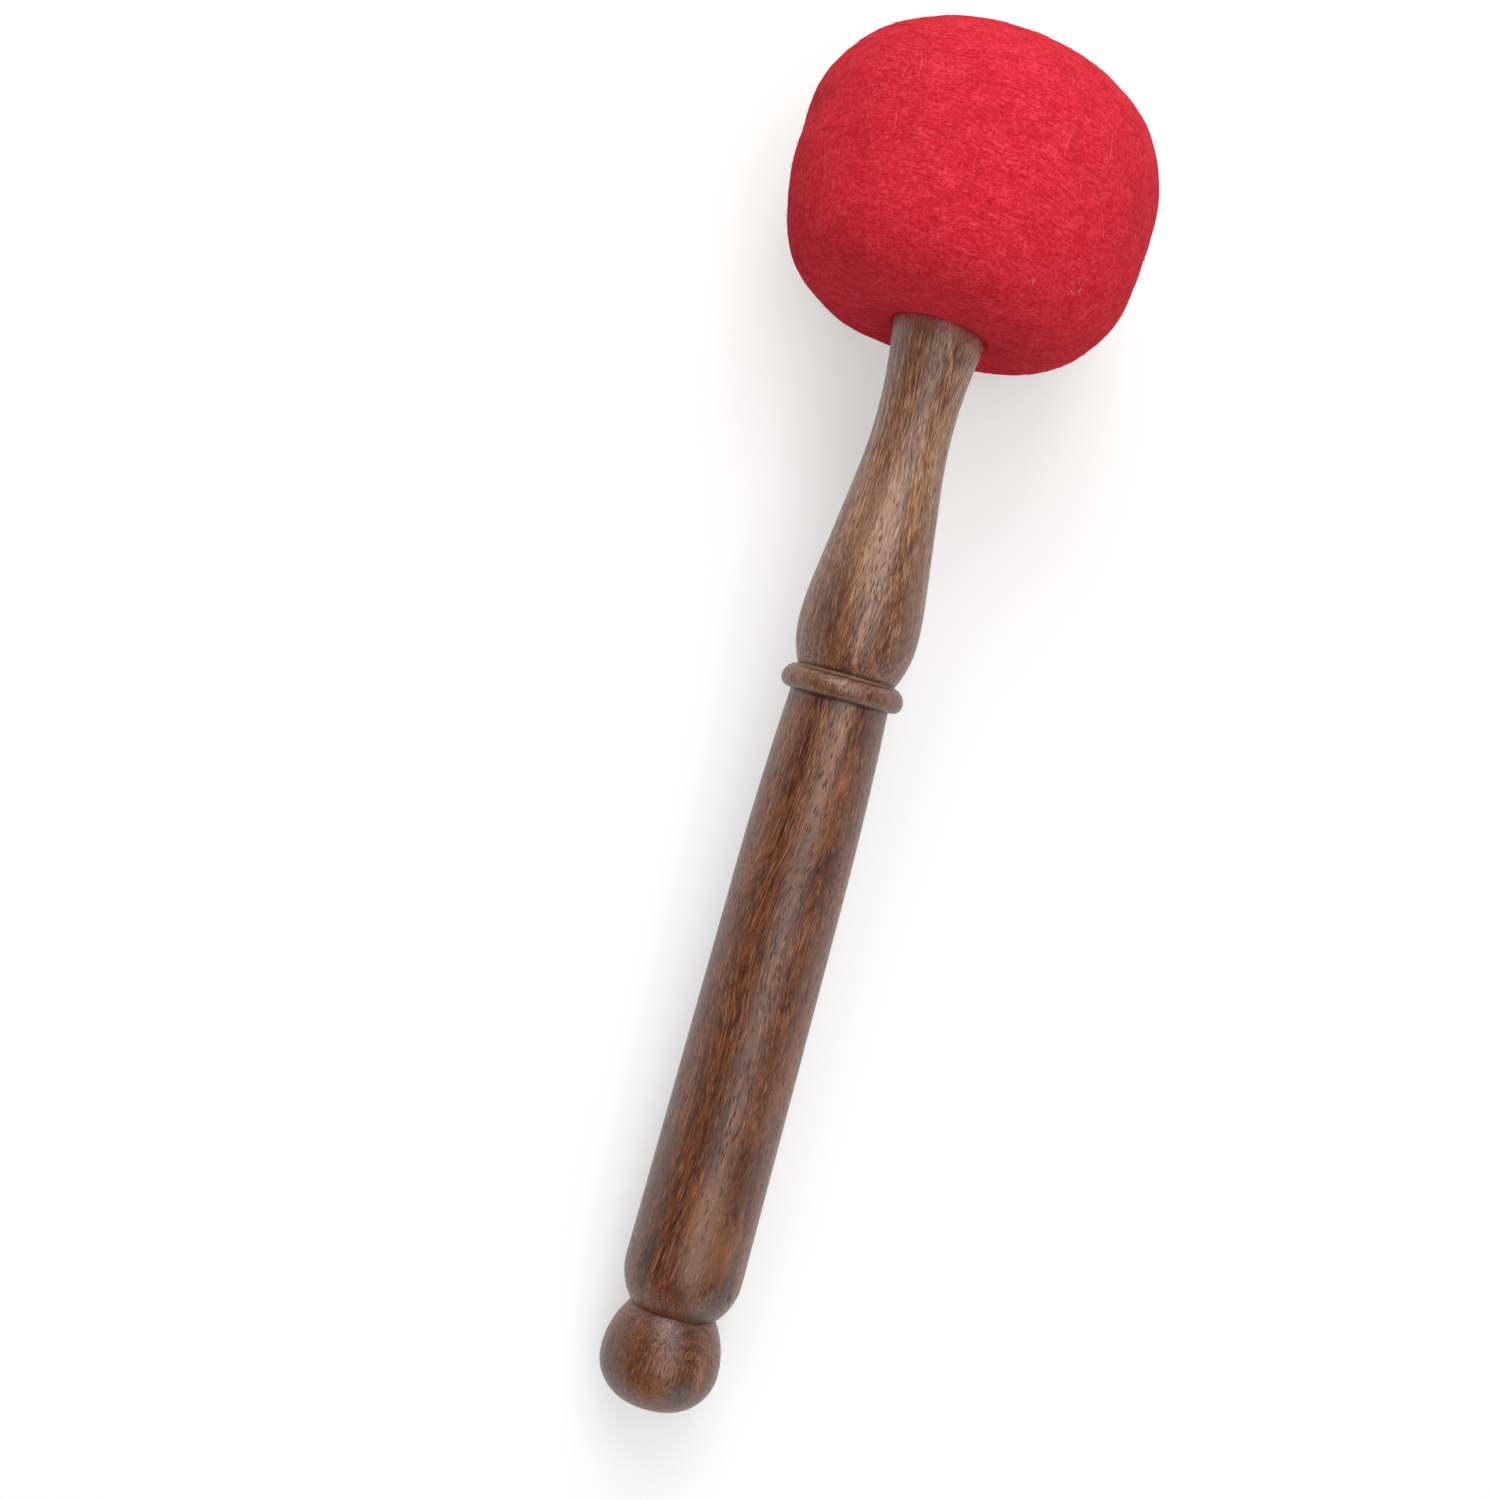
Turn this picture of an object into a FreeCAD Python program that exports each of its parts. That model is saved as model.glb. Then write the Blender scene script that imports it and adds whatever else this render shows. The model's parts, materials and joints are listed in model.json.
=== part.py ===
import FreeCAD, Part
import Sketcher
import math
import os

# A mallet for sounding a singing bowl: one turned hardwood handle with a ball pommel, a grip, a bead
# and a vase-shaped neck, and a ball of needle-felted wool round a turned core that is screwed on to
# the handle's tenon. Lengths are millimetres.
#
# Every piece is drawn on the handle's own axis, with Z running from the pommel's end to the crown of
# the head and X towards the table. The whole mallet is then laid down as it rests, on the side of its
# head and the side of its pommel, with the head towards +X.

sizes = {
    # pommel
    "pommel_radius": 12.7,
    "pommel_flat_radius": 2.8,
    "pommel_height": 9.9,
    "groove_rise": 11.05,
    "groove_radius": 9.1,
    # grip
    "grip_end_length": 9.0,
    "grip_radius": 12.6,
    "grip_taper_length": 83.0,
    "grip_mid_radius": 11.88,
    "grip_top_length": 40.5,
    "grip_top_radius": 10.5,
    # bead between the grip and the neck
    "bead_radius": 13.06,
    "bead_low_height": 2.1,
    "bead_top_height": 3.2,
    "foot_radius": 10.42,
    # vase and neck
    "vase_rise": 9.7,
    "vase_radius": 12.7,
    "neck_rise": 44.8,
    "neck_radius": 8.18,
    "neck_steepness_share": 1.29,
    "vase_curve_share": 0.39,
    "flare_rise": 20.95,
    "flare_radius": 10.4,
    "seat_length": 4.0,
    # tenon that carries the head
    "tenon_radius": 6.0,
    "tenon_length": 28.0,
    "tenon_chamfer": 1.0,
    "pilot_radius": 2.0,
    "pilot_depth": 24.0,
    # outside of the felted head
    "felt_overhang": 8.8,
    "head_radius": 38.05,
    "head_height": 66.4,
    "girth_height": 33.0,
    "side_curve": 58.4,
    "crown_curve": 48.2,
    "base_curve": 144.0,
    "upper_shoulder_curve": 26.5,
    "lower_shoulder_curve": 24.9,
    "lip_round": 3.2,
    "rest_flat_depth": 0.5,
    # layers of the head
    "cover_wall": 4.5,
    "core_radius": 17.0,
    "core_height": 36.0,
    "core_edge_round": 6.0,
    # screw and washer that hold the core on the tenon
    "washer_radius": 8.0,
    "washer_thickness": 1.6,
    "screw_shank_radius": 1.9,
    "screw_length": 28.0,
    "screw_point_length": 5.0,
    "screw_head_radius": 3.8,
    "screw_head_height": 2.6,
    "screw_slot_width": 1.1,
    "screw_slot_depth": 1.2,
    # gaps
    "fit_gap": 0.1,
    "screw_hole_gap": 0.3,
    "tenon_end_gap": 0.5,
}

# Sizes that follow from the ones above: how the stretches of the axis add up, and how it lies.
followers = {
    "grip_start": "dims.pommel_height + dims.groove_rise + dims.grip_end_length",
    "grip_end": "grip_start + dims.grip_taper_length + dims.grip_top_length",
    "foot_height": "grip_end + dims.bead_low_height + dims.bead_top_height",
    "neck_height": "foot_height + dims.vase_rise + dims.neck_rise",
    "seat_height": "neck_height + dims.flare_rise + dims.seat_length",
    "head_start": "seat_height - dims.felt_overhang",
    "girth": "head_start + dims.girth_height",
    "crown": "head_start + dims.head_height",
    "core_top": "seat_height + dims.core_height",
    "washer_seat_depth": "dims.washer_thickness + dims.fit_gap",
    # the straight flank of the neck, and the two curves that it joins
    "neck_drop": "dims.vase_radius - dims.neck_radius",
    "flank_angle": "dims.neck_steepness_share * atan(neck_drop / dims.neck_rise)",
    "flank_length": "neck_drop / tan(flank_angle / 2) - dims.neck_rise",
    "flank_curves": "(dims.neck_rise - flank_length * cos(flank_angle)) / sin(flank_angle)",
    # centres of the pommel's lower curve and of the head's side, seen along the table
    "ball_wide": "dims.pommel_radius - dims.pommel_flat_radius",
    "ball_curve": "(ball_wide ^ 2 + dims.pommel_height ^ 2) / (2 * ball_wide)",
    "ball_out": "dims.pommel_radius - ball_curve",
    "side_out": "dims.head_radius - dims.side_curve",
    "lie_rise": "girth - dims.pommel_height",
    "lie_out": "side_out - ball_out",
    "lie_far": "sqrt(lie_rise ^ 2 + lie_out ^ 2)",
    "lie_lean": "acos((ball_curve - dims.side_curve + dims.rest_flat_depth) / lie_far)",
    "lie_angle": "lie_lean - atan2(lie_rise; lie_out)",
    "floor_drop": "ball_out * cos(lie_angle) - dims.pommel_height * sin(lie_angle) + ball_curve",
    "reach_head": "(crown - dims.crown_curve) * cos(lie_angle) + dims.crown_curve",
    "reach_pommel": "ball_curve + ball_out * sin(lie_angle) - dims.pommel_height * cos(lie_angle)",
    "axis_start": "(reach_pommel - reach_head) / 2",
}

doc = FreeCAD.newDocument("bowl_mallet")


def fill_sheet(name, entries, as_formula):
    sheet = doc.addObject("Spreadsheet::Sheet", name)
    for row, (alias, content) in enumerate(entries.items(), start=1):
        sheet.set("A%d" % row, alias)
        sheet.set("B%d" % row, "=" + content if as_formula else str(content))
        sheet.setAlias("B%d" % row, alias)
    doc.recompute()
    return sheet


fill_sheet("dims", sizes, False)
lines = fill_sheet("lines", followers, True)


def amount(words):
    """The number that an expression on the sheets comes to now."""
    value = lines.evalExpression(words)
    return float(getattr(value, "Value", value))


def size(alias):
    return amount("dims." + alias)


def worked(alias):
    return amount("lines." + alias)


def point(out, up):
    return FreeCAD.Vector(out, up, 0)


ORIGIN_POINT = (-1, 1)
AXIS_LINE = -2


def new_body(label):
    body = doc.addObject("PartDesign::Body", label)
    body.Label = label
    return body


def lay_down(body):
    body.Placement = FreeCAD.Placement(point(0, 0), FreeCAD.Rotation(FreeCAD.Vector(0, 1, 0), 90))
    body.setExpression("Placement.Base.x", "lines.axis_start")
    body.setExpression("Placement.Base.z", "lines.floor_drop")
    body.setExpression("Placement.Rotation.Angle", "90 deg - lines.lie_angle")


def new_sketch(body, name, role, height=None):
    sketch = body.newObject("Sketcher::SketchObject", name)
    plane = [item for item in body.Origin.OriginFeatures if item.Role == role][0]
    sketch.AttachmentSupport = [(plane, "")]
    sketch.MapMode = "FlatFace"
    if height:
        sketch.setExpression("AttachmentOffset.Base.z", height)
    return sketch


class Outline:
    """A run of lines and arcs in a sketch, each starting where the last one ends."""

    def __init__(self, sketch, start):
        self.sketch = sketch
        self.place = start
        self.last = None
        self.first = None

    def join(self, begin, smooth):
        if self.last is None:
            self.first = begin
            return
        kind = "Tangent" if smooth else "Coincident"
        self.constrain(kind, *self.last, *begin)

    def constrain(self, kind, *places):
        return self.sketch.addConstraint(Sketcher.Constraint(kind, *places))

    def bind(self, kind, places, words):
        """Adds a dimension that follows an expression on the sheets."""
        value = amount(words)
        if kind == "Angle":
            value = math.radians(value)
        number = self.constrain(kind, *places, value)
        self.sketch.setExpression("Constraints[%d]" % number, words)

    def line_to(self, end, smooth=False):
        curve = self.sketch.addGeometry(Part.LineSegment(self.place, end))
        self.join((curve, 1), smooth)
        self.place = end
        self.last = (curve, 2)
        return curve

    def arc_to(self, centre, end, smooth=False):
        begin = self.place - centre
        finish = end - centre
        turn = begin.x * finish.y - begin.y * finish.x
        anticlockwise = turn > 0
        low, high = (begin, finish) if anticlockwise else (finish, begin)
        low_angle = math.atan2(low.y, low.x)
        high_angle = math.atan2(high.y, high.x)
        if high_angle < low_angle:
            high_angle += math.tau
        circle = Part.Circle(centre, FreeCAD.Vector(0, 0, 1), begin.Length)
        curve = self.sketch.addGeometry(Part.ArcOfCircle(circle, low_angle, high_angle))
        start_end, finish_end = (1, 2) if anticlockwise else (2, 1)
        self.join((curve, start_end), smooth)
        self.place = end
        self.last = (curve, finish_end)
        return curve

    def out_and_up(self, out_words, below, up_words):
        """Binds the run's end: its distance from the axis, and its height above an earlier point."""
        self.bind("DistanceX", (*ORIGIN_POINT, *self.last), out_words)
        self.bind("DistanceY", (*below, *self.last), up_words)

    def close(self):
        self.constrain("Coincident", *self.last, *self.first)


def level_with(outline, curve, end):
    """Puts an arc's centre level with one of its ends, so that the arc runs upright there."""
    outline.constrain("Horizontal", curve, 3, *end)


def upright_arc_centre(upright, other):
    """Centre of the arc that runs upright at one point and passes through the other."""
    out = upright.x - other.x
    up = upright.y - other.y
    radius = (out * out + up * up) / (2 * out)
    return point(upright.x - radius, upright.y)


def tangent_arc_centre(start, direction, end):
    """Centre of the arc that leaves start along a direction and passes through end."""
    side = point(-direction.y, direction.x)
    chord = end - start
    reach = chord.dot(chord) / (2 * chord.dot(side))
    return start + side * reach


def fillet_centre(centre_a, reach_a, centre_b, reach_b):
    """The point at two distances from two centres that lies further from the axis."""
    link = centre_b - centre_a
    far = link.Length
    along = (reach_a ** 2 - reach_b ** 2 + far ** 2) / (2 * far)
    aside = math.sqrt(reach_a ** 2 - along ** 2)
    ahead = link / far
    across = point(-ahead.y, ahead.x)
    middle = centre_a + ahead * along
    return max((middle + across * aside, middle - across * aside), key=lambda place: place.x)


def touch(outer_centre, outer_radius, inner_centre):
    """Where a small arc inside a large one touches it."""
    ahead = (inner_centre - outer_centre).normalize()
    return outer_centre + ahead * outer_radius


def revolve(body, sketch):
    feature = body.newObject("PartDesign::Revolution", body.Label + "_turned")
    feature.Profile = sketch
    feature.ReferenceAxis = (sketch, ["V_Axis"])
    feature.Angle = 360
    sketch.Visibility = False
    return feature


def add_rim(sketch, radius):
    """A circle round the sketch's origin."""
    circle = Part.Circle(point(0, 0), FreeCAD.Vector(0, 0, 1), amount(radius))
    rim = sketch.addGeometry(circle)
    sketch.addConstraint(Sketcher.Constraint("Coincident", rim, 3, *ORIGIN_POINT))
    number = sketch.addConstraint(Sketcher.Constraint("Radius", rim, amount(radius)))
    sketch.setExpression("Constraints[%d]" % number, radius)


def bore(body, name, height, radius, depth, upwards=False):
    """A round hole on the axis, sunk from a height down, or up from there."""
    sketch = new_sketch(body, name + "_circle", "XY_Plane", height)
    add_rim(sketch, radius)
    doc.recompute()
    before = body.Shape.Volume
    pocket = body.newObject("PartDesign::Pocket", name)
    pocket.Profile = sketch
    pocket.Reversed = upwards
    pocket.setExpression("Length", depth)
    doc.recompute()
    if not body.Shape.Volume < before:
        raise RuntimeError(name + " cut nothing")


def build_handle():
    """The turned handle, from the flat under the pommel to the tenon inside the head."""
    body = new_body("handle")
    sketch = new_sketch(body, "handle_outline", "XZ_Plane")
    ball = point(size("pommel_radius"), size("pommel_height"))
    groove = point(size("groove_radius"), ball.y + size("groove_rise"))
    grip_low = point(size("grip_radius"), worked("grip_start"))
    grip_mid = point(size("grip_mid_radius"), grip_low.y + size("grip_taper_length"))
    grip_high = point(size("grip_top_radius"), worked("grip_end"))
    bead = point(size("bead_radius"), grip_high.y + size("bead_low_height"))
    foot = point(size("foot_radius"), worked("foot_height"))
    vase = point(size("vase_radius"), foot.y + size("vase_rise"))
    neck = point(size("neck_radius"), worked("neck_height"))
    flare = point(size("flare_radius"), neck.y + size("flare_rise"))
    seat = worked("seat_height")
    tenon_top = seat + size("tenon_length")
    chamfer = size("tenon_chamfer")

    run = Outline(sketch, point(0, 0))
    flat = run.line_to(point(size("pommel_flat_radius"), 0))
    run.constrain("Coincident", flat, 1, *ORIGIN_POINT)
    run.constrain("Horizontal", flat)
    run.bind("Distance", (flat,), "dims.pommel_flat_radius")
    base = run.last
    low_ball = run.arc_to(upright_arc_centre(ball, run.place), ball)
    level_with(run, low_ball, run.last)
    run.out_and_up("dims.pommel_radius", base, "dims.pommel_height")
    widest = run.last
    high_ball = run.arc_to(upright_arc_centre(ball, groove), groove)
    level_with(run, high_ball, widest)
    run.out_and_up("dims.groove_radius", widest, "dims.groove_rise")
    groove_end = run.last

    taper = (grip_mid - grip_low).normalize()
    run.arc_to(tangent_arc_centre(grip_low, taper, groove), grip_low)
    run.out_and_up("dims.grip_radius", groove_end, "dims.grip_end_length")
    grip_end = run.last
    run.line_to(grip_mid, smooth=True)
    run.out_and_up("dims.grip_mid_radius", grip_end, "dims.grip_taper_length")
    grip_waist = run.last
    run.arc_to(tangent_arc_centre(grip_mid, taper, grip_high), grip_high, smooth=True)
    run.out_and_up("dims.grip_top_radius", grip_waist, "dims.grip_top_length")

    step = run.line_to(point(bead.x - size("bead_low_height"), grip_high.y))
    run.constrain("Horizontal", step)
    step_end = run.last
    low_bead = run.arc_to(point(run.place.x, bead.y), bead, smooth=True)
    level_with(run, low_bead, run.last)
    run.out_and_up("dims.bead_radius", step_end, "dims.bead_low_height")
    bead_edge = run.last
    high_bead = run.arc_to(upright_arc_centre(bead, foot), foot)
    level_with(run, high_bead, bead_edge)
    run.out_and_up("dims.foot_radius", bead_edge, "dims.bead_top_height")
    arris = run.last

    low_vase = run.arc_to(upright_arc_centre(vase, foot), vase)
    level_with(run, low_vase, run.last)
    run.out_and_up("dims.vase_radius", arris, "dims.vase_rise")
    belly = run.last
    curves = worked("flank_curves")
    vase_curve = curves * size("vase_curve_share")
    neck_curve = curves - vase_curve
    flank = math.radians(worked("flank_angle"))
    outward = point(math.cos(flank), math.sin(flank))
    vase_centre = point(vase.x - vase_curve, vase.y)
    neck_centre = point(neck.x + neck_curve, neck.y)
    high_vase = run.arc_to(vase_centre, vase_centre + outward * vase_curve)
    level_with(run, high_vase, belly)
    run.bind("Radius", (high_vase,), "lines.flank_curves * dims.vase_curve_share")
    run.line_to(neck_centre - outward * neck_curve, smooth=True)
    low_neck = run.arc_to(neck_centre, neck, smooth=True)
    level_with(run, low_neck, run.last)
    run.out_and_up("dims.neck_radius", belly, "dims.neck_rise")
    waist = run.last
    high_neck = run.arc_to(upright_arc_centre(neck, flare), flare)
    level_with(run, high_neck, waist)
    run.out_and_up("dims.flare_radius", waist, "dims.flare_rise")

    seat_wall = run.line_to(point(flare.x, seat))
    run.constrain("Vertical", seat_wall)
    run.bind("Distance", (seat_wall,), "dims.seat_length")
    shoulder = run.line_to(point(size("tenon_radius"), seat))
    run.constrain("Horizontal", shoulder)
    run.bind("DistanceX", (*ORIGIN_POINT, *run.last), "dims.tenon_radius")
    tenon_foot = run.last
    tenon_wall = run.line_to(point(run.place.x, tenon_top - chamfer))
    run.constrain("Vertical", tenon_wall)
    run.line_to(point(run.place.x - chamfer, tenon_top))
    run.out_and_up("dims.tenon_radius - dims.tenon_chamfer", tenon_foot, "dims.tenon_length")
    run.bind("DistanceY", (tenon_wall, 2, *run.last), "dims.tenon_chamfer")
    tenon_end = run.line_to(point(0, tenon_top))
    run.constrain("Horizontal", tenon_end)
    run.constrain("PointOnObject", *run.last, AXIS_LINE)
    run.line_to(point(0, 0))
    run.close()
    revolve(body, sketch)
    bore(body, "pilot_hole", "lines.seat_height + dims.tenon_length", "dims.pilot_radius", "dims.pilot_depth")
    return body


def build_core():
    """The turned wooden core: a blind bore for the tenon, a screw hole and a seat for the washer."""
    body = new_body("head_core")
    sketch = new_sketch(body, "core_outline", "XZ_Plane")
    low = worked("seat_height")
    high = worked("core_top")
    wide = size("core_radius")
    edge = size("core_edge_round")
    run = Outline(sketch, point(0, low))
    foot = run.line_to(point(wide - edge, low))
    run.constrain("Horizontal", foot)
    run.constrain("PointOnObject", foot, 1, AXIS_LINE)
    run.bind("DistanceY", (*ORIGIN_POINT, foot, 1), "lines.seat_height")
    low_edge = run.arc_to(point(wide - edge, low + edge), point(wide, low + edge), smooth=True)
    run.bind("Radius", (low_edge,), "dims.core_edge_round")
    wall = run.line_to(point(wide, high - edge), smooth=True)
    run.constrain("Vertical", wall)
    run.bind("DistanceX", (*ORIGIN_POINT, *run.last), "dims.core_radius")
    high_edge = run.arc_to(point(wide - edge, high - edge), point(wide - edge, high), smooth=True)
    run.bind("Radius", (high_edge,), "dims.core_edge_round")
    top = run.line_to(point(0, high), smooth=True)
    run.constrain("Horizontal", top)
    run.constrain("PointOnObject", *run.last, AXIS_LINE)
    run.bind("DistanceY", (foot, 1, *run.last), "dims.core_height")
    run.line_to(point(0, low))
    run.close()
    revolve(body, sketch)
    tenon_room = "dims.tenon_length + dims.tenon_end_gap"
    bore(body, "tenon_bore", "lines.seat_height", "dims.tenon_radius + dims.fit_gap", tenon_room, upwards=True)
    bore(body, "washer_seat", "lines.core_top", "dims.washer_radius + dims.fit_gap", "lines.washer_seat_depth")
    bore(body, "screw_hole", "lines.core_top", "dims.screw_shank_radius + dims.screw_hole_gap", "dims.core_height")
    return body


WASHER_FOOT = "lines.core_top - lines.washer_seat_depth"


def build_washer():
    """The steel washer under the screw's head."""
    body = new_body("core_washer")
    sketch = new_sketch(body, "washer_ring", "XY_Plane", WASHER_FOOT)
    add_rim(sketch, "dims.washer_radius")
    add_rim(sketch, "dims.screw_shank_radius + dims.screw_hole_gap")
    pad = body.newObject("PartDesign::Pad", "washer_disc")
    pad.Profile = sketch
    pad.setExpression("Length", "dims.washer_thickness")
    return body


def build_screw():
    """The slotted screw that draws the core down on to the tenon, drawn at its core diameter."""
    body = new_body("core_screw")
    sketch = new_sketch(body, "screw_outline", "XZ_Plane")
    under = worked("core_top") - worked("washer_seat_depth") + size("washer_thickness")
    shank = size("screw_shank_radius")
    wide = size("screw_head_radius")
    tip = under - size("screw_length")
    top = under + size("screw_head_height")
    run = Outline(sketch, point(0, tip))
    cone = run.line_to(point(shank, tip + size("screw_point_length")))
    run.constrain("PointOnObject", cone, 1, AXIS_LINE)
    run.bind("DistanceY", (cone, 1, cone, 2), "dims.screw_point_length")
    wall = run.line_to(point(shank, under))
    run.constrain("Vertical", wall)
    run.bind("DistanceX", (*ORIGIN_POINT, *run.last), "dims.screw_shank_radius")
    run.bind("DistanceY", (cone, 1, *run.last), "dims.screw_length")
    run.bind("DistanceY", (*ORIGIN_POINT, *run.last), WASHER_FOOT + " + dims.washer_thickness")
    ledge = run.line_to(point(wide, under))
    run.constrain("Horizontal", ledge)
    run.bind("DistanceX", (*ORIGIN_POINT, *run.last), "dims.screw_head_radius")
    rim = run.last
    dome = run.arc_to(tangent_arc_centre(point(0, top), point(-1, 0), run.place), point(0, top))
    run.constrain("PointOnObject", *run.last, AXIS_LINE)
    run.constrain("PointOnObject", dome, 3, AXIS_LINE)
    run.bind("DistanceY", (*rim, *run.last), "dims.screw_head_height")
    run.line_to(point(0, tip))
    run.close()
    revolve(body, sketch)

    slot = new_sketch(body, "slot_outline", "XZ_Plane")
    floor = top - size("screw_slot_depth")
    half = size("screw_slot_width") / 2
    cut = Outline(slot, point(-half, floor))
    bottom = cut.line_to(point(half, floor))
    right = cut.line_to(point(half, top))
    lid = cut.line_to(point(-half, top))
    left = cut.line_to(point(-half, floor))
    cut.close()
    cut.constrain("Vertical", right)
    cut.constrain("Horizontal", lid)
    cut.constrain("Vertical", left)
    cut.constrain("Symmetric", bottom, 1, bottom, 2, AXIS_LINE)
    cut.bind("Distance", (bottom,), "dims.screw_slot_width")
    cut.bind("Distance", (right,), "dims.screw_slot_depth")
    lid_height = WASHER_FOOT + " + dims.washer_thickness + dims.screw_head_height"
    cut.bind("DistanceY", (*ORIGIN_POINT, lid, 1), lid_height)
    doc.recompute()
    before = body.Shape.Volume
    pocket = body.newObject("PartDesign::Pocket", "driver_slot")
    pocket.Profile = slot
    pocket.Type = "ThroughAll"
    pocket.Midplane = True
    doc.recompute()
    if not body.Shape.Volume < before:
        raise RuntimeError("driver_slot cut nothing")
    return body


class FeltLayer:
    """The curves of one layer of the head, an inset inside the felt's outer surface."""

    def __init__(self, inset, inset_expression):
        self.inset = inset
        self.words = inset_expression
        self.side = size("side_curve") - inset
        self.crown = size("crown_curve") - inset
        self.base = size("base_curve") - inset
        self.upper = size("upper_shoulder_curve") - inset
        self.lower = size("lower_shoulder_curve") - inset
        self.side_centre = point(worked("side_out"), worked("girth"))
        self.crown_centre = point(0, worked("crown") - size("crown_curve"))
        self.base_centre = point(0, worked("head_start") + size("base_curve"))
        self.upper_centre = fillet_centre(
            self.crown_centre, self.crown - self.upper, self.side_centre, self.side - self.upper)
        self.lower_centre = fillet_centre(
            self.base_centre, self.base - self.lower, self.side_centre, self.side - self.lower)
        self.base_end = touch(self.base_centre, self.base, self.lower_centre)
        self.side_start = touch(self.side_centre, self.side, self.lower_centre)
        self.side_end = touch(self.side_centre, self.side, self.upper_centre)
        self.crown_start = touch(self.crown_centre, self.crown, self.upper_centre)
        self.top = point(0, self.crown_centre.y + self.crown)

    def height_at(self, out):
        """Height of the base curve at a distance from the axis."""
        return self.base_centre.y - math.sqrt(self.base ** 2 - out ** 2)

    def less(self, name):
        return "dims.%s - (%s)" % (name, self.words)

    def draw_up(self, run, smooth=False):
        """Base, lower shoulder, side, upper shoulder and crown, from the run's place to the axis."""
        base = run.arc_to(self.base_centre, self.base_end, smooth)
        lower = run.arc_to(self.lower_centre, self.side_start, smooth=True)
        side = run.arc_to(self.side_centre, self.side_end, smooth=True)
        upper = run.arc_to(self.upper_centre, self.crown_start, smooth=True)
        crown = run.arc_to(self.crown_centre, self.top, smooth=True)
        self.hold(run, base, lower, side, upper, crown)

    def draw_down(self, run, end):
        """The same curves from the axis down to a point on the base."""
        crown = run.arc_to(self.crown_centre, self.crown_start)
        upper = run.arc_to(self.upper_centre, self.side_end, smooth=True)
        side = run.arc_to(self.side_centre, self.side_start, smooth=True)
        lower = run.arc_to(self.lower_centre, self.base_end, smooth=True)
        base = run.arc_to(self.base_centre, end, smooth=True)
        self.hold(run, base, lower, side, upper, crown)

    def hold(self, run, base, lower, side, upper, crown):
        run.bind("Radius", (base,), self.less("base_curve"))
        run.bind("Radius", (lower,), self.less("lower_shoulder_curve"))
        run.bind("Radius", (side,), self.less("side_curve"))
        run.bind("Radius", (upper,), self.less("upper_shoulder_curve"))
        run.bind("Radius", (crown,), self.less("crown_curve"))
        run.constrain("PointOnObject", base, 3, AXIS_LINE)
        run.constrain("PointOnObject", crown, 3, AXIS_LINE)
        base_up = "lines.head_start + dims.base_curve"
        crown_up = "lines.crown - dims.crown_curve"
        run.bind("DistanceY", (*ORIGIN_POINT, base, 3), base_up)
        run.bind("DistanceY", (*ORIGIN_POINT, crown, 3), crown_up)
        run.bind("DistanceY", (*ORIGIN_POINT, side, 3), "lines.girth")
        run.bind("DistanceX", (side, 3, *ORIGIN_POINT), "-lines.side_out")


def build_padding():
    """The undyed wool that is wound round the core and fills the head."""
    body = new_body("wool_padding")
    sketch = new_sketch(body, "padding_section", "XZ_Plane")
    gap = size("fit_gap")
    layer = FeltLayer(size("cover_wall") + gap, "dims.cover_wall + dims.fit_gap")
    hole = size("flare_radius") + gap
    room = size("core_radius") + gap
    edge = size("core_edge_round") + gap
    low = worked("seat_height") - gap
    high = worked("core_top") + size("screw_head_height") + gap
    start = point(hole, layer.height_at(hole))
    run = Outline(sketch, start)
    layer.draw_up(run)
    run.constrain("PointOnObject", *run.last, AXIS_LINE)
    run.line_to(point(0, high))
    run.constrain("PointOnObject", *run.last, AXIS_LINE)
    ceiling = run.line_to(point(room - edge, high))
    run.constrain("Horizontal", ceiling)
    ceiling_height = "lines.core_top + dims.screw_head_height + dims.fit_gap"
    run.bind("DistanceY", (*ORIGIN_POINT, ceiling, 1), ceiling_height)
    high_edge = run.arc_to(point(room - edge, high - edge), point(room, high - edge), smooth=True)
    run.bind("Radius", (high_edge,), "dims.core_edge_round + dims.fit_gap")
    wall = run.line_to(point(room, low + edge), smooth=True)
    run.constrain("Vertical", wall)
    run.bind("DistanceX", (*ORIGIN_POINT, *run.last), "dims.core_radius + dims.fit_gap")
    low_edge = run.arc_to(point(room - edge, low + edge), point(room - edge, low), smooth=True)
    run.bind("Radius", (low_edge,), "dims.core_edge_round + dims.fit_gap")
    ledge = run.line_to(point(hole, low), smooth=True)
    run.constrain("Horizontal", ledge)
    run.bind("DistanceY", (*ORIGIN_POINT, *run.last), "lines.seat_height - dims.fit_gap")
    run.bind("DistanceX", (*ORIGIN_POINT, *run.last), "dims.flare_radius + dims.fit_gap")
    neck_wall = run.line_to(start)
    run.constrain("Vertical", neck_wall)
    run.close()
    revolve(body, sketch)
    return body


TABLE_START = (
    "lines.girth - (dims.side_curve - dims.rest_flat_depth) * sin(lines.lie_angle)"
    " - dims.head_height / 2 * cos(lines.lie_angle)"
)


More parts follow.
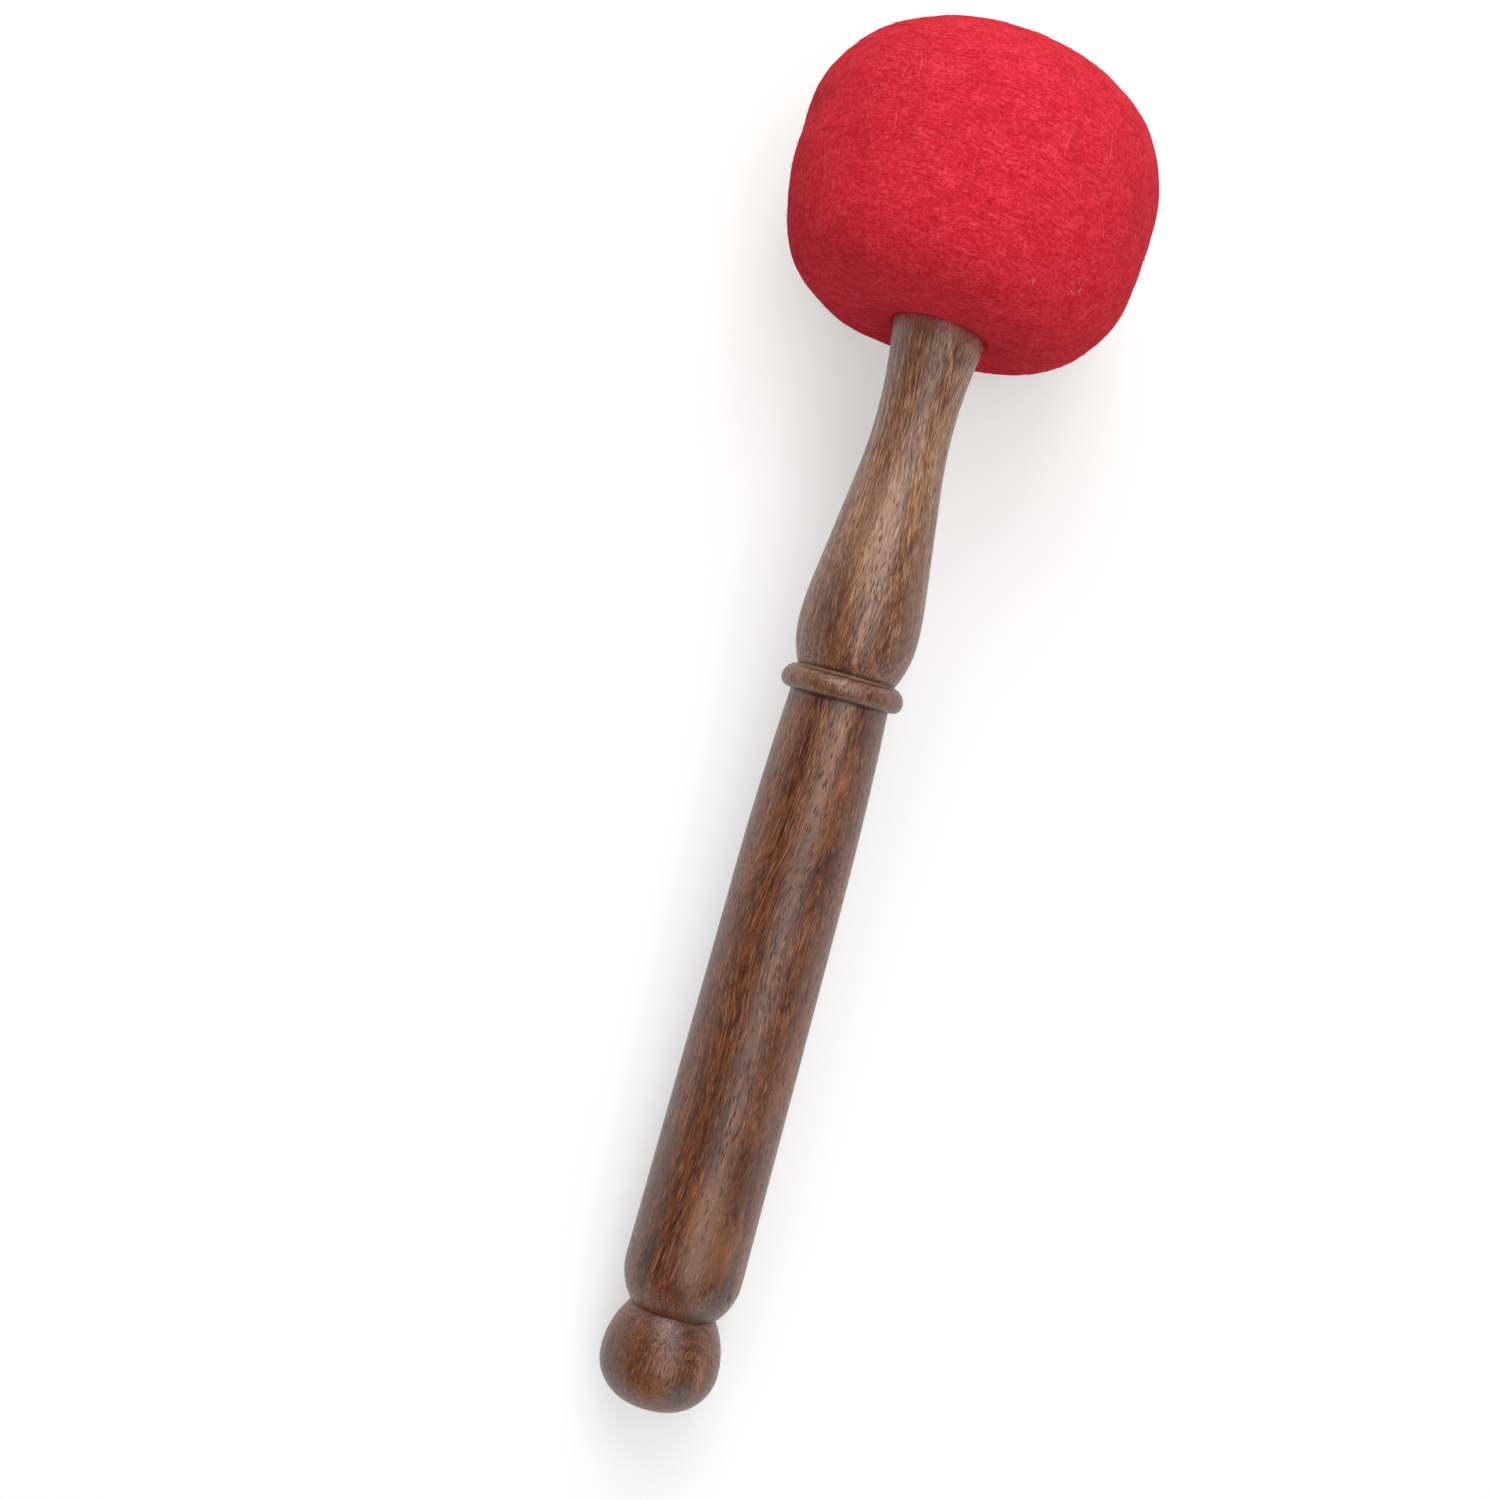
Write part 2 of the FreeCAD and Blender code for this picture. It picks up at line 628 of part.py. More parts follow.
def build_cover():
    """The red needle-felted shell, turned in round the neck, with the flat that it rests on."""
    body = new_body("felt_cover")
    sketch = new_sketch(body, "cover_section", "XZ_Plane")
    outer = FeltLayer(0, "0")
    inner = FeltLayer(size("cover_wall"), "dims.cover_wall")
    hole = size("flare_radius") + size("fit_gap")
    lip = size("lip_round")
    lip_out = hole + lip
    lip_reach = outer.base - lip
    lip_centre = point(lip_out, outer.base_centre.y - math.sqrt(lip_reach ** 2 - lip_out ** 2))
    inner_end = point(hole, inner.height_at(hole))
    run = Outline(sketch, inner_end)
    neck_wall = run.line_to(point(hole, lip_centre.y))
    run.constrain("Vertical", neck_wall)
    run.bind("DistanceX", (*ORIGIN_POINT, neck_wall, 1), "dims.flare_radius + dims.fit_gap")
    lip_arc = run.arc_to(lip_centre, touch(outer.base_centre, outer.base, lip_centre), smooth=True)
    run.bind("Radius", (lip_arc,), "dims.lip_round")
    outer.draw_up(run, smooth=True)
    run.constrain("PointOnObject", *run.last, AXIS_LINE)
    run.line_to(inner.top)
    run.constrain("PointOnObject", *run.last, AXIS_LINE)
    inner.draw_down(run, inner_end)
    run.close()
    revolve(body, sketch)

    lie = math.radians(worked("lie_angle"))
    along = point(math.sin(lie), math.cos(lie))
    down = point(math.cos(lie), -math.sin(lie))
    touchdown = outer.side_centre + down * (outer.side - size("rest_flat_depth"))
    reach = size("head_height") / 2
    depth = size("cover_wall")
    table = new_sketch(body, "table_side", "XZ_Plane")
    cut = Outline(table, touchdown - along * reach)
    floor = cut.line_to(touchdown + along * reach)
    end = cut.line_to(cut.place + down * depth)
    under = cut.line_to(cut.place - along * (2 * reach))
    back = cut.line_to(cut.place - down * depth)
    cut.close()
    cut.constrain("Parallel", floor, under)
    cut.constrain("Parallel", end, back)
    cut.constrain("Perpendicular", floor, end)
    cut.bind("Angle", (AXIS_LINE, 1, floor, 1), "-lines.lie_angle")
    cut.bind("Distance", (*ORIGIN_POINT, floor), "lines.floor_drop")
    cut.bind("Distance", (floor,), "dims.head_height")
    cut.bind("Distance", (end,), "dims.cover_wall")
    cut.bind("DistanceY", (*ORIGIN_POINT, floor, 1), TABLE_START)
    doc.recompute()
    before = body.Shape.Volume
    pocket = body.newObject("PartDesign::Pocket", "rest_flat")
    pocket.Profile = table
    pocket.Type = "ThroughAll"
    pocket.Midplane = True
    doc.recompute()
    if not body.Shape.Volume < before:
        raise RuntimeError("rest_flat cut nothing")
    return body


bodies = [
    build_handle(),
    build_core(),
    build_washer(),
    build_screw(),
    build_padding(),
    build_cover(),
]
for piece in bodies:
    lay_down(piece)
doc.recompute()

for item in doc.Objects:
    if "Invalid" in item.State or "Error" in item.State:
        raise RuntimeError("%s did not recompute: %s" % (item.Name, item.State))
for piece in bodies:
    if piece.Shape.isNull() or not piece.Shape.isValid():
        raise RuntimeError("%s has no valid solid" % piece.Label)

os.makedirs("parts", exist_ok=True)
for piece in bodies:
    box = piece.Shape.optimalBoundingBox(False, False)
    piece.Shape.exportStep("parts/%s.step" % piece.Label)
    print("%-14s %8.0f mm3, x %.2f to %.2f, z %.2f to %.2f"
          % (piece.Label, piece.Shape.Volume, box.XMin, box.XMax, box.ZMin, box.ZMax))
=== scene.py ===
import json
import math
import random

import bmesh
import bpy
from mathutils import Matrix, Vector, noise
from mathutils.bvhtree import BVHTree
from mathutils.geometry import interpolate_bezier


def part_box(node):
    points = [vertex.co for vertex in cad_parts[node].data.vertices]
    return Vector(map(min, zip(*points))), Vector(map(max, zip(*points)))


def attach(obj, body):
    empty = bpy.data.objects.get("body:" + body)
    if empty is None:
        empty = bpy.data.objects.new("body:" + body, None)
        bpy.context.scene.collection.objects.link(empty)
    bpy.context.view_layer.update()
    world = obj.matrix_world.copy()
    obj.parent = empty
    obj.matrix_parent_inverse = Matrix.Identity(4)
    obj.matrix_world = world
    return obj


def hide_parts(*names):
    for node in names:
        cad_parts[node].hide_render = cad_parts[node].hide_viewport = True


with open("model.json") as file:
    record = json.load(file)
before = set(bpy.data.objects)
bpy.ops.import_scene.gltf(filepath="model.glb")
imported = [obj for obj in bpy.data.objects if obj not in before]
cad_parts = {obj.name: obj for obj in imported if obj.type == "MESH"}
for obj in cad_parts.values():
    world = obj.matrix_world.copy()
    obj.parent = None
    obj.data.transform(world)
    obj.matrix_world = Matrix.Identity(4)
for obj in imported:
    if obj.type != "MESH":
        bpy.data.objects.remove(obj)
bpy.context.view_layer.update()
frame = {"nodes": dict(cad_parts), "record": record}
nodes = frame["nodes"]
print("frame loaded:", ", ".join(sorted(nodes)))


# The handle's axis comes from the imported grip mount, which is at the middle of the grip.
# "toHead" runs along it, "toRight" is the photograph's right and "toViewer" points up from the table.
grip = next(m for m in frame["record"]["mounts"] if m["name"] == "grip")
handleAxis = {
    "gripMiddle": 0.0917,        # from the pommel's end
    "toHead": Vector(grip["axis"]).normalized(),
    "toRight": Vector((0, -1, 0)),
}
handleAxis["toViewer"] = handleAxis["toRight"].cross(handleAxis["toHead"])
handleAxis["start"] = Vector(grip["pos_m"]) - handleAxis["toHead"] * handleAxis["gripMiddle"]


def alongHandle(distance, right=0.0, up=0.0):
    # a point by its distance from the pommel's end
    return (handleAxis["start"] + handleAxis["toHead"] * distance
            + handleAxis["toRight"] * right + handleAxis["toViewer"] * up)


def axesMatrix(x, y, z):
    return Matrix((x, y, z)).transposed()


# The camera, from the photograph. Seen by it, the handle leans 15.2 degrees to the right and its
# head is 1.8 degrees nearer.
camera = {
    "focalPixels": 2754, "frame": (1490, 1500), "sensor": 36.0,
    "clip": (0.01, 50),
    "lean": math.radians(15.2), "nearer": math.radians(1.8),
    "aimAlong": 0.1562,                               # the point of the handle that is placed
    "aimSeen": Vector((0.02038, 0.01309, -0.57375)),  # where the camera sees it: right, up, back
}


def placeCamera():
    lean, nearer = camera["lean"], camera["nearer"]
    inPicture = math.cos(nearer)
    seenHead = Vector((math.sin(lean) * inPicture, math.cos(lean) * inPicture, math.sin(nearer)))
    seenRight = Vector((math.cos(lean), -math.sin(lean), 0))
    seen = axesMatrix(seenHead, seenRight, seenRight.cross(seenHead))
    real = axesMatrix(handleAxis["toHead"], handleAxis["toRight"], handleAxis["toViewer"])
    turn = real @ seen.transposed()
    data = bpy.data.cameras.new("photo_camera")
    data.sensor_width = camera["sensor"]
    data.lens = camera["focalPixels"] / max(camera["frame"]) * camera["sensor"]
    data.clip_start, data.clip_end = camera["clip"]
    body = bpy.data.objects.new("photo_camera", data)
    body.rotation_mode = "QUATERNION"
    body.rotation_quaternion = turn.to_quaternion()
    body.location = alongHandle(camera["aimAlong"]) - turn @ camera["aimSeen"]
    bpy.context.scene.collection.objects.link(body)
    bpy.context.scene.camera = body
    return turn


cameraTurn = placeCamera()
print("camera placed")


def linearColour(text):
    # an sRGB hex colour as the linear values that nodes take
    shares = [int(text[i:i + 2], 16) / 255 for i in (1, 3, 5)]
    return [s / 12.92 if s <= 0.04045 else ((s + 0.055) / 1.055) ** 2.4 for s in shares] + [1.0]


def feed(tree, node, inputs):
    # inputs: socket name or number -> a value, a hex colour, a socket, or a node for its first live output
    for name, value in inputs.items():
        if isinstance(value, bpy.types.Node):
            value = next(socket for socket in value.outputs if socket.enabled)
        if isinstance(value, bpy.types.NodeSocket):
            tree.links.new(value, node.inputs[name])
        elif isinstance(value, str):
            node.inputs[name].default_value = linearColour(value)
        else:
            node.inputs[name].default_value = value


def addNode(tree, kind, inputs=None, stops=None, **settings):
    node = tree.nodes.new("ShaderNode" + kind)
    for name, value in settings.items():
        setattr(node, name, value)
    for number, (place, colour) in enumerate(stops or []):
        ramp = node.color_ramp.elements
        element = ramp[number] if number < 2 else ramp.new(place)
        element.position = place
        element.color = linearColour(colour)
    feed(tree, node, inputs or {})
    return node


def newMaterial(name, **sockets):
    # a Principled material with its plain values set; the patterns are fed to it afterwards
    material = bpy.data.materials.new(name)
    material.use_nodes = True
    tree = material.node_tree
    tree.nodes.clear()
    shader = addNode(tree, "BsdfPrincipled", {k.replace("_", " "): v for k, v in sockets.items()})
    addNode(tree, "OutputMaterial", {"Surface": shader})
    return material, tree, shader


def perMillimetre(size):
    # a pattern's scale from the real size of its features, in millimetres
    return 1000 / size


def scaled(tree, vector, sizes):
    # a pattern's space from the sizes of its features in three directions, in millimetres
    scales = [perMillimetre(size) for size in sizes]
    return addNode(tree, "VectorMath", {0: vector, 1: scales}, operation="MULTIPLY")


def stirred(tree, space, sizes, detail, reach):
    # a space whose points are moved about by a slow noise, at most by half the reach
    waves = addNode(tree, "TexNoise", {"Vector": scaled(tree, space, sizes), "Scale": 1.0, "Detail": detail})
    centred = addNode(tree, "VectorMath", {0: waves.outputs["Color"], 1: (0.5, 0.5, 0.5)},
                      operation="SUBTRACT")
    return addNode(tree, "VectorMath", {0: centred, 1: reach, 2: space}, operation="MULTIPLY_ADD")


def blended(tree, patterns, shares):
    # the weighted sum of several patterns
    total = 0.0
    for name, share in shares.items():
        total = addNode(tree, "Math", {0: patterns[name], 1: share, 2: total}, operation="MULTIPLY_ADD")
    return total


# Oiled sheesham (Indian rosewood), turned, sanded and rubbed with oil: a satin brown with
# soft growth bands, open pores that show as short dashes along the grain, near-black streaks
# and rusty patches. The wood is darker and redder towards the pommel.
# A place is in metres from the pommel's end. A pattern's sizes are in millimetres, towards the
# viewer, to the right and along the handle.
sheesham = {
    "curveReach": 0.25,                  # the place at which curves along the handle end
    # the grain runs along the handle but wanders: place, lean in degrees to the right, as
    # measured in the photograph
    "grainLean": ((0.0, 0), (0.010, 2), (0.037, 8), (0.052, 3), (0.068, -1.5), (0.082, -4), (0.095, -4),
                  (0.109, 9), (0.125, 9), (0.137, -3), (0.165, 4), (0.178, -2), (0.189, -2.5), (0.199, -3.5),
                  (0.210, -5), (0.220, -2), (0.240, 0)),
    "mostAside": 0.01,                   # the room that its curve has to either side
    # the fibres draw in a little with the neck: place, and how much closer together they run there
    "drawnIn": ((0.0, 0.0), (0.165, 0.0), (0.178, 0.01), (0.185, 0.04), (0.192, 0.10), (0.200, 0.22),
                (0.207, 0.32), (0.213, 0.35), (0.225, 0.27), (0.234, 0.15), (0.250, 0.10)),
    "drift": (16, 16, 45), "driftReach": (0.004, 0.004, 0),   # moves the grain by up to 2 mm
    "pith": (0.026, 0.012, 0),           # the tree's centre, beside the handle
    "bandWidth": 3.4,
    "layer": (0.5, 5, 22),               # away from the pith, to the right and along the handle
    "fibre": (0.30, 0.30, 4.2), "patch": (8, 8, 24), "streak": (2.0, 2.0, 16),
    # what each pattern adds to the tone, and where the tones lie, from dark latewood to pale wood
    "toneShares": {"band": 0.11, "fibre": 0.47, "layer": 0.28, "patch": 0.14},
    "toneStops": (0.395, 0.460, 0.50, 0.540, 0.605),
    "neckTones": ("#41241a", "#673c26", "#85563a", "#9e7353", "#c29f80"),
    "gripTones": ("#371709", "#502711", "#653419", "#764020", "#955d36"),
    "paleFrom": 0.120, "paleTo": 0.215,  # where the grip's tones go over into the neck's
    # rusty patches and near-black streaks: where their pattern starts to show and is full, its
    # strength, colour and edge
    "stains": (("patch", 0.52, 0.72, 0.45, "#7f4925", "LINEAR"),
               ("streak", 0.60, 0.74, 0.35, "#2b1a14", "SMOOTHSTEP")),
    # pores, and pale flecks that are partly ray flecks and partly painted glints: spacing, then how far from
    # its middle a cell is full and where it ends, and its strength; the real pores are 0.15 mm wide, drawn
    # 0.2 to show
    "pore": (0.48, 0.48, 4.0), "poreCell": (0.15, 0.30, 1.0), "poreColour": "#26160e",
    # pores gather as the patches' pattern goes from the first to the second, from a least share
    "poreCrowd": (0.38, 0.58, 0.45),
    "glint": (0.72, 0.72, 8.0), "glintCell": (0.08, 0.20, 0.50), "glintColour": "#b98b60",
    "glintShift": (0.31, 0.17, 0.05),    # so that flecks and pores don't coincide
    # painted shade in the turned corners, partly dirt, the bead darker, and a painted highlight on
    # its arris, partly rubbed wood: place, half width, colour and strength
    "rings": ((0.1560, 0.0023, "#5a3826", 0.30), (0.0209, 0.0004, "#2a1810", 0.35),
              (0.1533, 0.0004, "#22140e", 0.65), (0.1582, 0.00018, "#22140e", 0.65),
              (0.1592, 0.0004, "#22140e", 0.65), (0.1587, 0.00022, "#a88870", 0.45)),
    # the figure's own patches, with a painted shade and two pale patches that are partly painted highlight:
    # place, right and up of the axis, width, length, colour and strength
    "figureAndPaintedLight": (
        (0.0304, -0.0084, 0.0094, 0.0019, 0.0070, "#24120c", 0.75),
        (0.0300, 0.0096, 0.0082, 0.0024, 0.0075, "#26150e", 0.70),
        (0.0059, 0.0060, 0.0104, 0.0026, 0.0048, "#2b1d18", 0.65),
        (0.0367, 0.0072, 0.0103, 0.0034, 0.0060, "#95592f", 0.40),
        (0.1730, -0.0074, 0.0100, 0.0036, 0.0140, "#4a2e1f", 0.45),
        (0.1655, -0.0030, 0.0120, 0.0026, 0.0080, "#80492a", 0.30),
        # pale figure at the front of the vase, partly a painted highlight
        (0.1930, -0.0022, 0.0112, 0.0046, 0.0180, "#c09a80", 0.30),
        (0.1880, 0.0090, 0.0090, 0.0034, 0.0170, "#74462e", 0.40),
        (0.1740, 0.0096, 0.0085, 0.0036, 0.0130, "#5f3823", 0.50),
        # painted shade on the grip's upper right side, as a dark patch
        (0.1430, 0.0086, 0.0085, 0.0032, 0.0130, "#4b2a1a", 0.45),
        # golden figure at the front of the lower grip, partly a painted highlight
        (0.0400, 0.0020, 0.0120, 0.0040, 0.0140, "#9a6a42", 0.35),
        (0.0100, -0.0060, 0.0080, 0.0070, 0.0090, "#42251a", 0.45),
        (0.0590, -0.0010, 0.0124, 0.0028, 0.0080, "#3e2420", 0.45),
        (0.0785, 0.0000, 0.0122, 0.0020, 0.0070, "#4a2c20", 0.40),
    ),
    # how far the layers fray a patch, and where it starts to fade and ends, in its own half sizes
    "figureFray": 1.6, "figureFade": (1.2, 2.1),
    # the wood's slanted edge at the felt: its place on the axis, then its slope upwards and to
    # the right; on the last millimetres a red haze, fluff with a painted red reflection of the felt, and a
    # painted contact shade: width, colour and strength
    "feltEdge": 0.2323, "feltSlope": (-0.153, 0.0594, 1.0),
    "feltShadeAndRedCast": ((0.0044, "#8a4d44", 0.60), (0.0008, "#641f1f", 0.60)),
    "roughness": (0.30, 0.43), "poreRoughness": 0.4,   # of the fibres, and what a pore adds
    "relief": 0.00011,                   # how deep pores and fibres are
}


def grainSpace(tree):
    # Object coordinates from the pommel's end: X towards the viewer, Y to the right, Z to the head
    turn = axesMatrix(handleAxis["toViewer"], handleAxis["toRight"], handleAxis["toHead"]).to_euler()
    place = addNode(tree, "TexCoord")
    return addNode(tree, "Mapping", {"Vector": place.outputs["Object"], "Location": alongHandle(0.0),
                                     "Rotation": turn}, vector_type="TEXTURE")


def grainWander():
    # how far to the right the grain has gone at each place, from its lean
    aside, last, result = 0.0, sheesham["grainLean"][0], []
    for place, lean in sheesham["grainLean"]:
        aside += math.tan(math.radians((lean + last[1]) / 2)) * (place - last[0])
        last = (place, lean)
        result.append((place, aside))
    return result


def curveAlong(tree, along, points):
    # a value from 0 to 1 that changes along the handle, by points of place and value
    reach = sheesham["curveReach"]
    share = addNode(tree, "Math", {0: along, 1: reach}, operation="DIVIDE")
    node = addNode(tree, "FloatCurve", {"Value": share})
    marks = node.mapping.curves[0].points
    for number, (place, value) in enumerate(points):
        at = (place / reach, value)
        if number < 2:
            marks[number].location = at
        else:
            marks.new(*at)
    node.mapping.update()
    return node


def bendGrain(tree, straight, along):
    # the wandering grain, and the same with the fibres drawn in at the neck
    most = sheesham["mostAside"]
    wander = curveAlong(tree, along, [(place, 0.5 + aside / most / 2) for place, aside in grainWander()])
    aside = addNode(tree, "MapRange", {"Value": wander, "To Min": most, "To Max": -most})
    sideways = addNode(tree, "CombineXYZ", {1: aside})
    grain = addNode(tree, "VectorMath", {0: straight, 1: sideways}, operation="ADD")
    grain = stirred(tree, grain, sheesham["drift"], 2.0, sheesham["driftReach"])
    closer = curveAlong(tree, along, sheesham["drawnIn"])
    inwards = addNode(tree, "CombineXYZ", {0: closer, 1: closer})
    drawnIn = addNode(tree, "VectorMath", {0: straight, 1: inwards, 2: grain}, operation="MULTIPLY_ADD")
    return grain, drawnIn


def growthLayers(tree, grain):
    # broad bands and thin layers round the pith; the turned surface cuts the layers, which gives
    # fine lines at its sides and broad patches in front
    fromPith = addNode(tree, "VectorMath", {0: grain, 1: sheesham["pith"]}, operation="SUBTRACT")
    flat = addNode(tree, "VectorMath", {0: fromPith, 1: (1, 1, 0)}, operation="MULTIPLY")
    distance = addNode(tree, "VectorMath", {0: flat}, operation="LENGTH").outputs["Value"]
    bands = addNode(tree, "TexNoise", {"W": distance, "Scale": perMillimetre(sheesham["bandWidth"]),
                                       "Detail": 2.0, "Roughness": 0.6}, noise_dimensions="1D")
    parts = addNode(tree, "SeparateXYZ", {0: grain})
    layered = addNode(tree, "CombineXYZ", {0: distance, 1: parts.outputs["Y"], 2: parts.outputs["Z"]})
    layers = addNode(tree, "TexNoise", {"Vector": scaled(tree, layered, sheesham["layer"]), "Scale": 1.0,
                                        "Detail": 3.0, "Roughness": 0.6})
    return bands, layers


def woodPatterns(tree, grain, drawnIn):
    patterns = {}
    patterns["band"], patterns["layer"] = growthLayers(tree, grain)
    for name, space, detail in (("fibre", drawnIn, 3.0), ("patch", grain, 2.0), ("streak", grain, 2.5)):
        patterns[name] = addNode(tree, "TexNoise", {"Vector": scaled(tree, space, sheesham[name]),
                                                    "Scale": 1.0, "Detail": detail, "Roughness": 0.6})
    return patterns


def woodColour(tree, along, patterns):
    tone = blended(tree, patterns, sheesham["toneShares"])
    neck, gripWood = (
        addNode(tree, "ValToRGB", {"Fac": tone}, stops=list(zip(sheesham["toneStops"], sheesham[name])))
        for name in ("neckTones", "gripTones"))
    pale = addNode(tree, "MapRange", {"Value": along, "From Min": sheesham["paleFrom"],
                                      "From Max": sheesham["paleTo"]}, interpolation_type="SMOOTHSTEP")
    colour = addNode(tree, "Mix", {0: pale, 6: gripWood, 7: neck}, data_type="RGBA")
    for name, start, full, strength, markColour, edge in sheesham["stains"]:
        share = addNode(tree, "MapRange", {"Value": patterns[name], "From Min": start, "From Max": full,
                                           "To Max": strength}, interpolation_type=edge)
        colour = addNode(tree, "Mix", {0: share, 6: colour, 7: markColour}, data_type="RGBA")
    return colour


def drawFigureAndPaintedLight(tree, straight, layers, colour):
    fadeFrom, fadeTo = sheesham["figureFade"]
    # the figure's patches, among them a painted shade and pale patches that are partly painted highlight
    for place, right, up, width, length, markColour, strength in sheesham["figureAndPaintedLight"]:
        off = addNode(tree, "VectorMath", {0: straight, 1: (up, right, place)}, operation="SUBTRACT")
        share = addNode(tree, "VectorMath", {0: off, 1: (1 / width, 1 / width, 1 / length)},
                        operation="MULTIPLY")
        away = addNode(tree, "VectorMath", {0: share}, operation="LENGTH").outputs["Value"]
        frayed = addNode(tree, "Math", {0: layers, 1: sheesham["figureFray"], 2: away},
                         operation="MULTIPLY_ADD")
        mask = addNode(tree, "MapRange", {"Value": frayed, "From Min": fadeFrom, "From Max": fadeTo,
                                          "To Min": strength, "To Max": 0.0},
                       interpolation_type="SMOOTHSTEP")
        colour = addNode(tree, "Mix", {0: mask, 6: colour, 7: markColour}, data_type="RGBA")
    return colour


def cutCells(tree, space, name):
    # long thin cells of a Voronoi pattern, cut by the surface
    cells = addNode(tree, "TexVoronoi", {"Vector": scaled(tree, space, sheesham[name]), "Scale": 1.0})
    full, end, strength = sheesham[name + "Cell"]
    return addNode(tree, "MapRange", {"Value": cells.outputs["Distance"], "From Min": full, "From Max": end,
                                      "To Min": strength, "To Max": 0.0}, interpolation_type="SMOOTHSTEP")


def openPores(tree, drawnIn, patches):
    start, full, least = sheesham["poreCrowd"]
    crowd = addNode(tree, "MapRange", {"Value": patches, "From Min": start, "From Max": full,
                                       "To Min": least})
    return addNode(tree, "Math", {0: cutCells(tree, drawnIn, "pore"), 1: crowd}, operation="MULTIPLY")


# pale flecks: partly ray flecks, partly painted glints along the grain
def rayFlecksAndGlints(tree, drawnIn):
    moved = addNode(tree, "VectorMath", {0: drawnIn, 1: sheesham["glintShift"]}, operation="ADD")
    return cutCells(tree, moved, "glint")


def tintEdges(tree, straight, along, colour):
    # the rings of painted shade, partly dirt, the bead's darker tone and a painted highlight on its
    # arris; then the red fluff, a painted red reflection and a painted contact shade at the felt
    for place, halfWidth, markColour, strength in sheesham["rings"]:
        inRing = addNode(tree, "Math", {0: along, 1: place, 2: halfWidth}, operation="COMPARE")
        share = addNode(tree, "MapRange", {"Value": inRing, "To Max": strength})
        colour = addNode(tree, "Mix", {0: share, 6: colour, 7: markColour}, data_type="RGBA")
    # the felt's edge: a red haze, fluff with a painted red reflection, and a painted contact shade
    slant = addNode(tree, "VectorMath", {0: straight, 1: sheesham["feltSlope"]}, operation="DOT_PRODUCT")
    edge = sheesham["feltEdge"]
    for width, markColour, strength in sheesham["feltShadeAndRedCast"]:
        share = addNode(tree, "MapRange", {"Value": slant.outputs["Value"], "From Min": edge - width,
                                           "From Max": edge, "To Max": strength},
                        interpolation_type="SMOOTHSTEP")
        colour = addNode(tree, "Mix", {0: share, 6: colour, 7: markColour}, data_type="RGBA")
    return colour


def sheeshamMaterial():
    material, tree, shader = newMaterial("oiled_sheesham_satin", Roughness=0.36, IOR=1.5,
                                         Specular_IOR_Level=0.8)
    straight = grainSpace(tree)
    along = addNode(tree, "SeparateXYZ", {0: straight}).outputs["Z"]
    grain, drawnIn = bendGrain(tree, straight, along)
    patterns = woodPatterns(tree, grain, drawnIn)
    pores = openPores(tree, drawnIn, patterns["patch"])

    colour = woodColour(tree, along, patterns)
    colour = drawFigureAndPaintedLight(tree, straight, patterns["layer"], colour)
    for share, name in ((pores, "poreColour"), (rayFlecksAndGlints(tree, drawnIn), "glintColour")):
        colour = addNode(tree, "Mix", {0: share, 6: colour, 7: sheesham[name]}, data_type="RGBA")
    colour = tintEdges(tree, straight, along, colour)

    smoothest, roughest = sheesham["roughness"]
    rough = addNode(tree, "MapRange", {"Value": patterns["fibre"], "From Min": 0.3, "From Max": 0.7,
                                       "To Min": smoothest, "To Max": roughest})
    rough = addNode(tree, "Math", {0: pores, 1: sheesham["poreRoughness"], 2: rough},
                    operation="MULTIPLY_ADD")
    depth = addNode(tree, "Math", {0: pores, 1: -1.0, 2: patterns["fibre"]}, operation="MULTIPLY_ADD")
    relief = addNode(tree, "Bump", {"Height": depth, "Strength": 0.6, "Distance": sheesham["relief"]})
    feed(tree, shader, {"Base Color": colour, "Roughness": rough, "Normal": relief})
    return material


def dress(name, material):
    # gives one of the frame's solids its finish
    for slot in nodes[name].material_slots:
        slot.material = material


dress("handle", sheeshamMaterial())
print("handle oiled")


# Red needle-felted wool: matt, soft at its edges, with fine curved strands that lie round
# the head, lighter where they stand proud and darker in the small hollows between them; one pattern gives
# both the colour and the relief, so this is partly the wool's own uneven tone and partly painted light and
# painted shade.
redWool = {
    "tones": ((0.35, "#aa1624"), (0.50, "#ce2534"), (0.65, "#df4551")),
    "toneShares": {"strand": 0.42, "mottle": 0.17, "fleck": 0.41},
    "strand": (0.28, 3.0),               # real fibres are 0.03 mm thick, drawn in wisps of 0.3 mm
    "mottle": 5, "fleck": 0.7,           # millimetres, as the strands
    "swirl": (16, 16, 16), "wander": (0.006, 0.006, 0.006),   # moves the strands by up to 3 mm
    # heights between which the strands' rings turn from the upright to the girth
    "girthFrom": 0.016, "girthFull": 0.034,
    "relief": 0.0004,
}


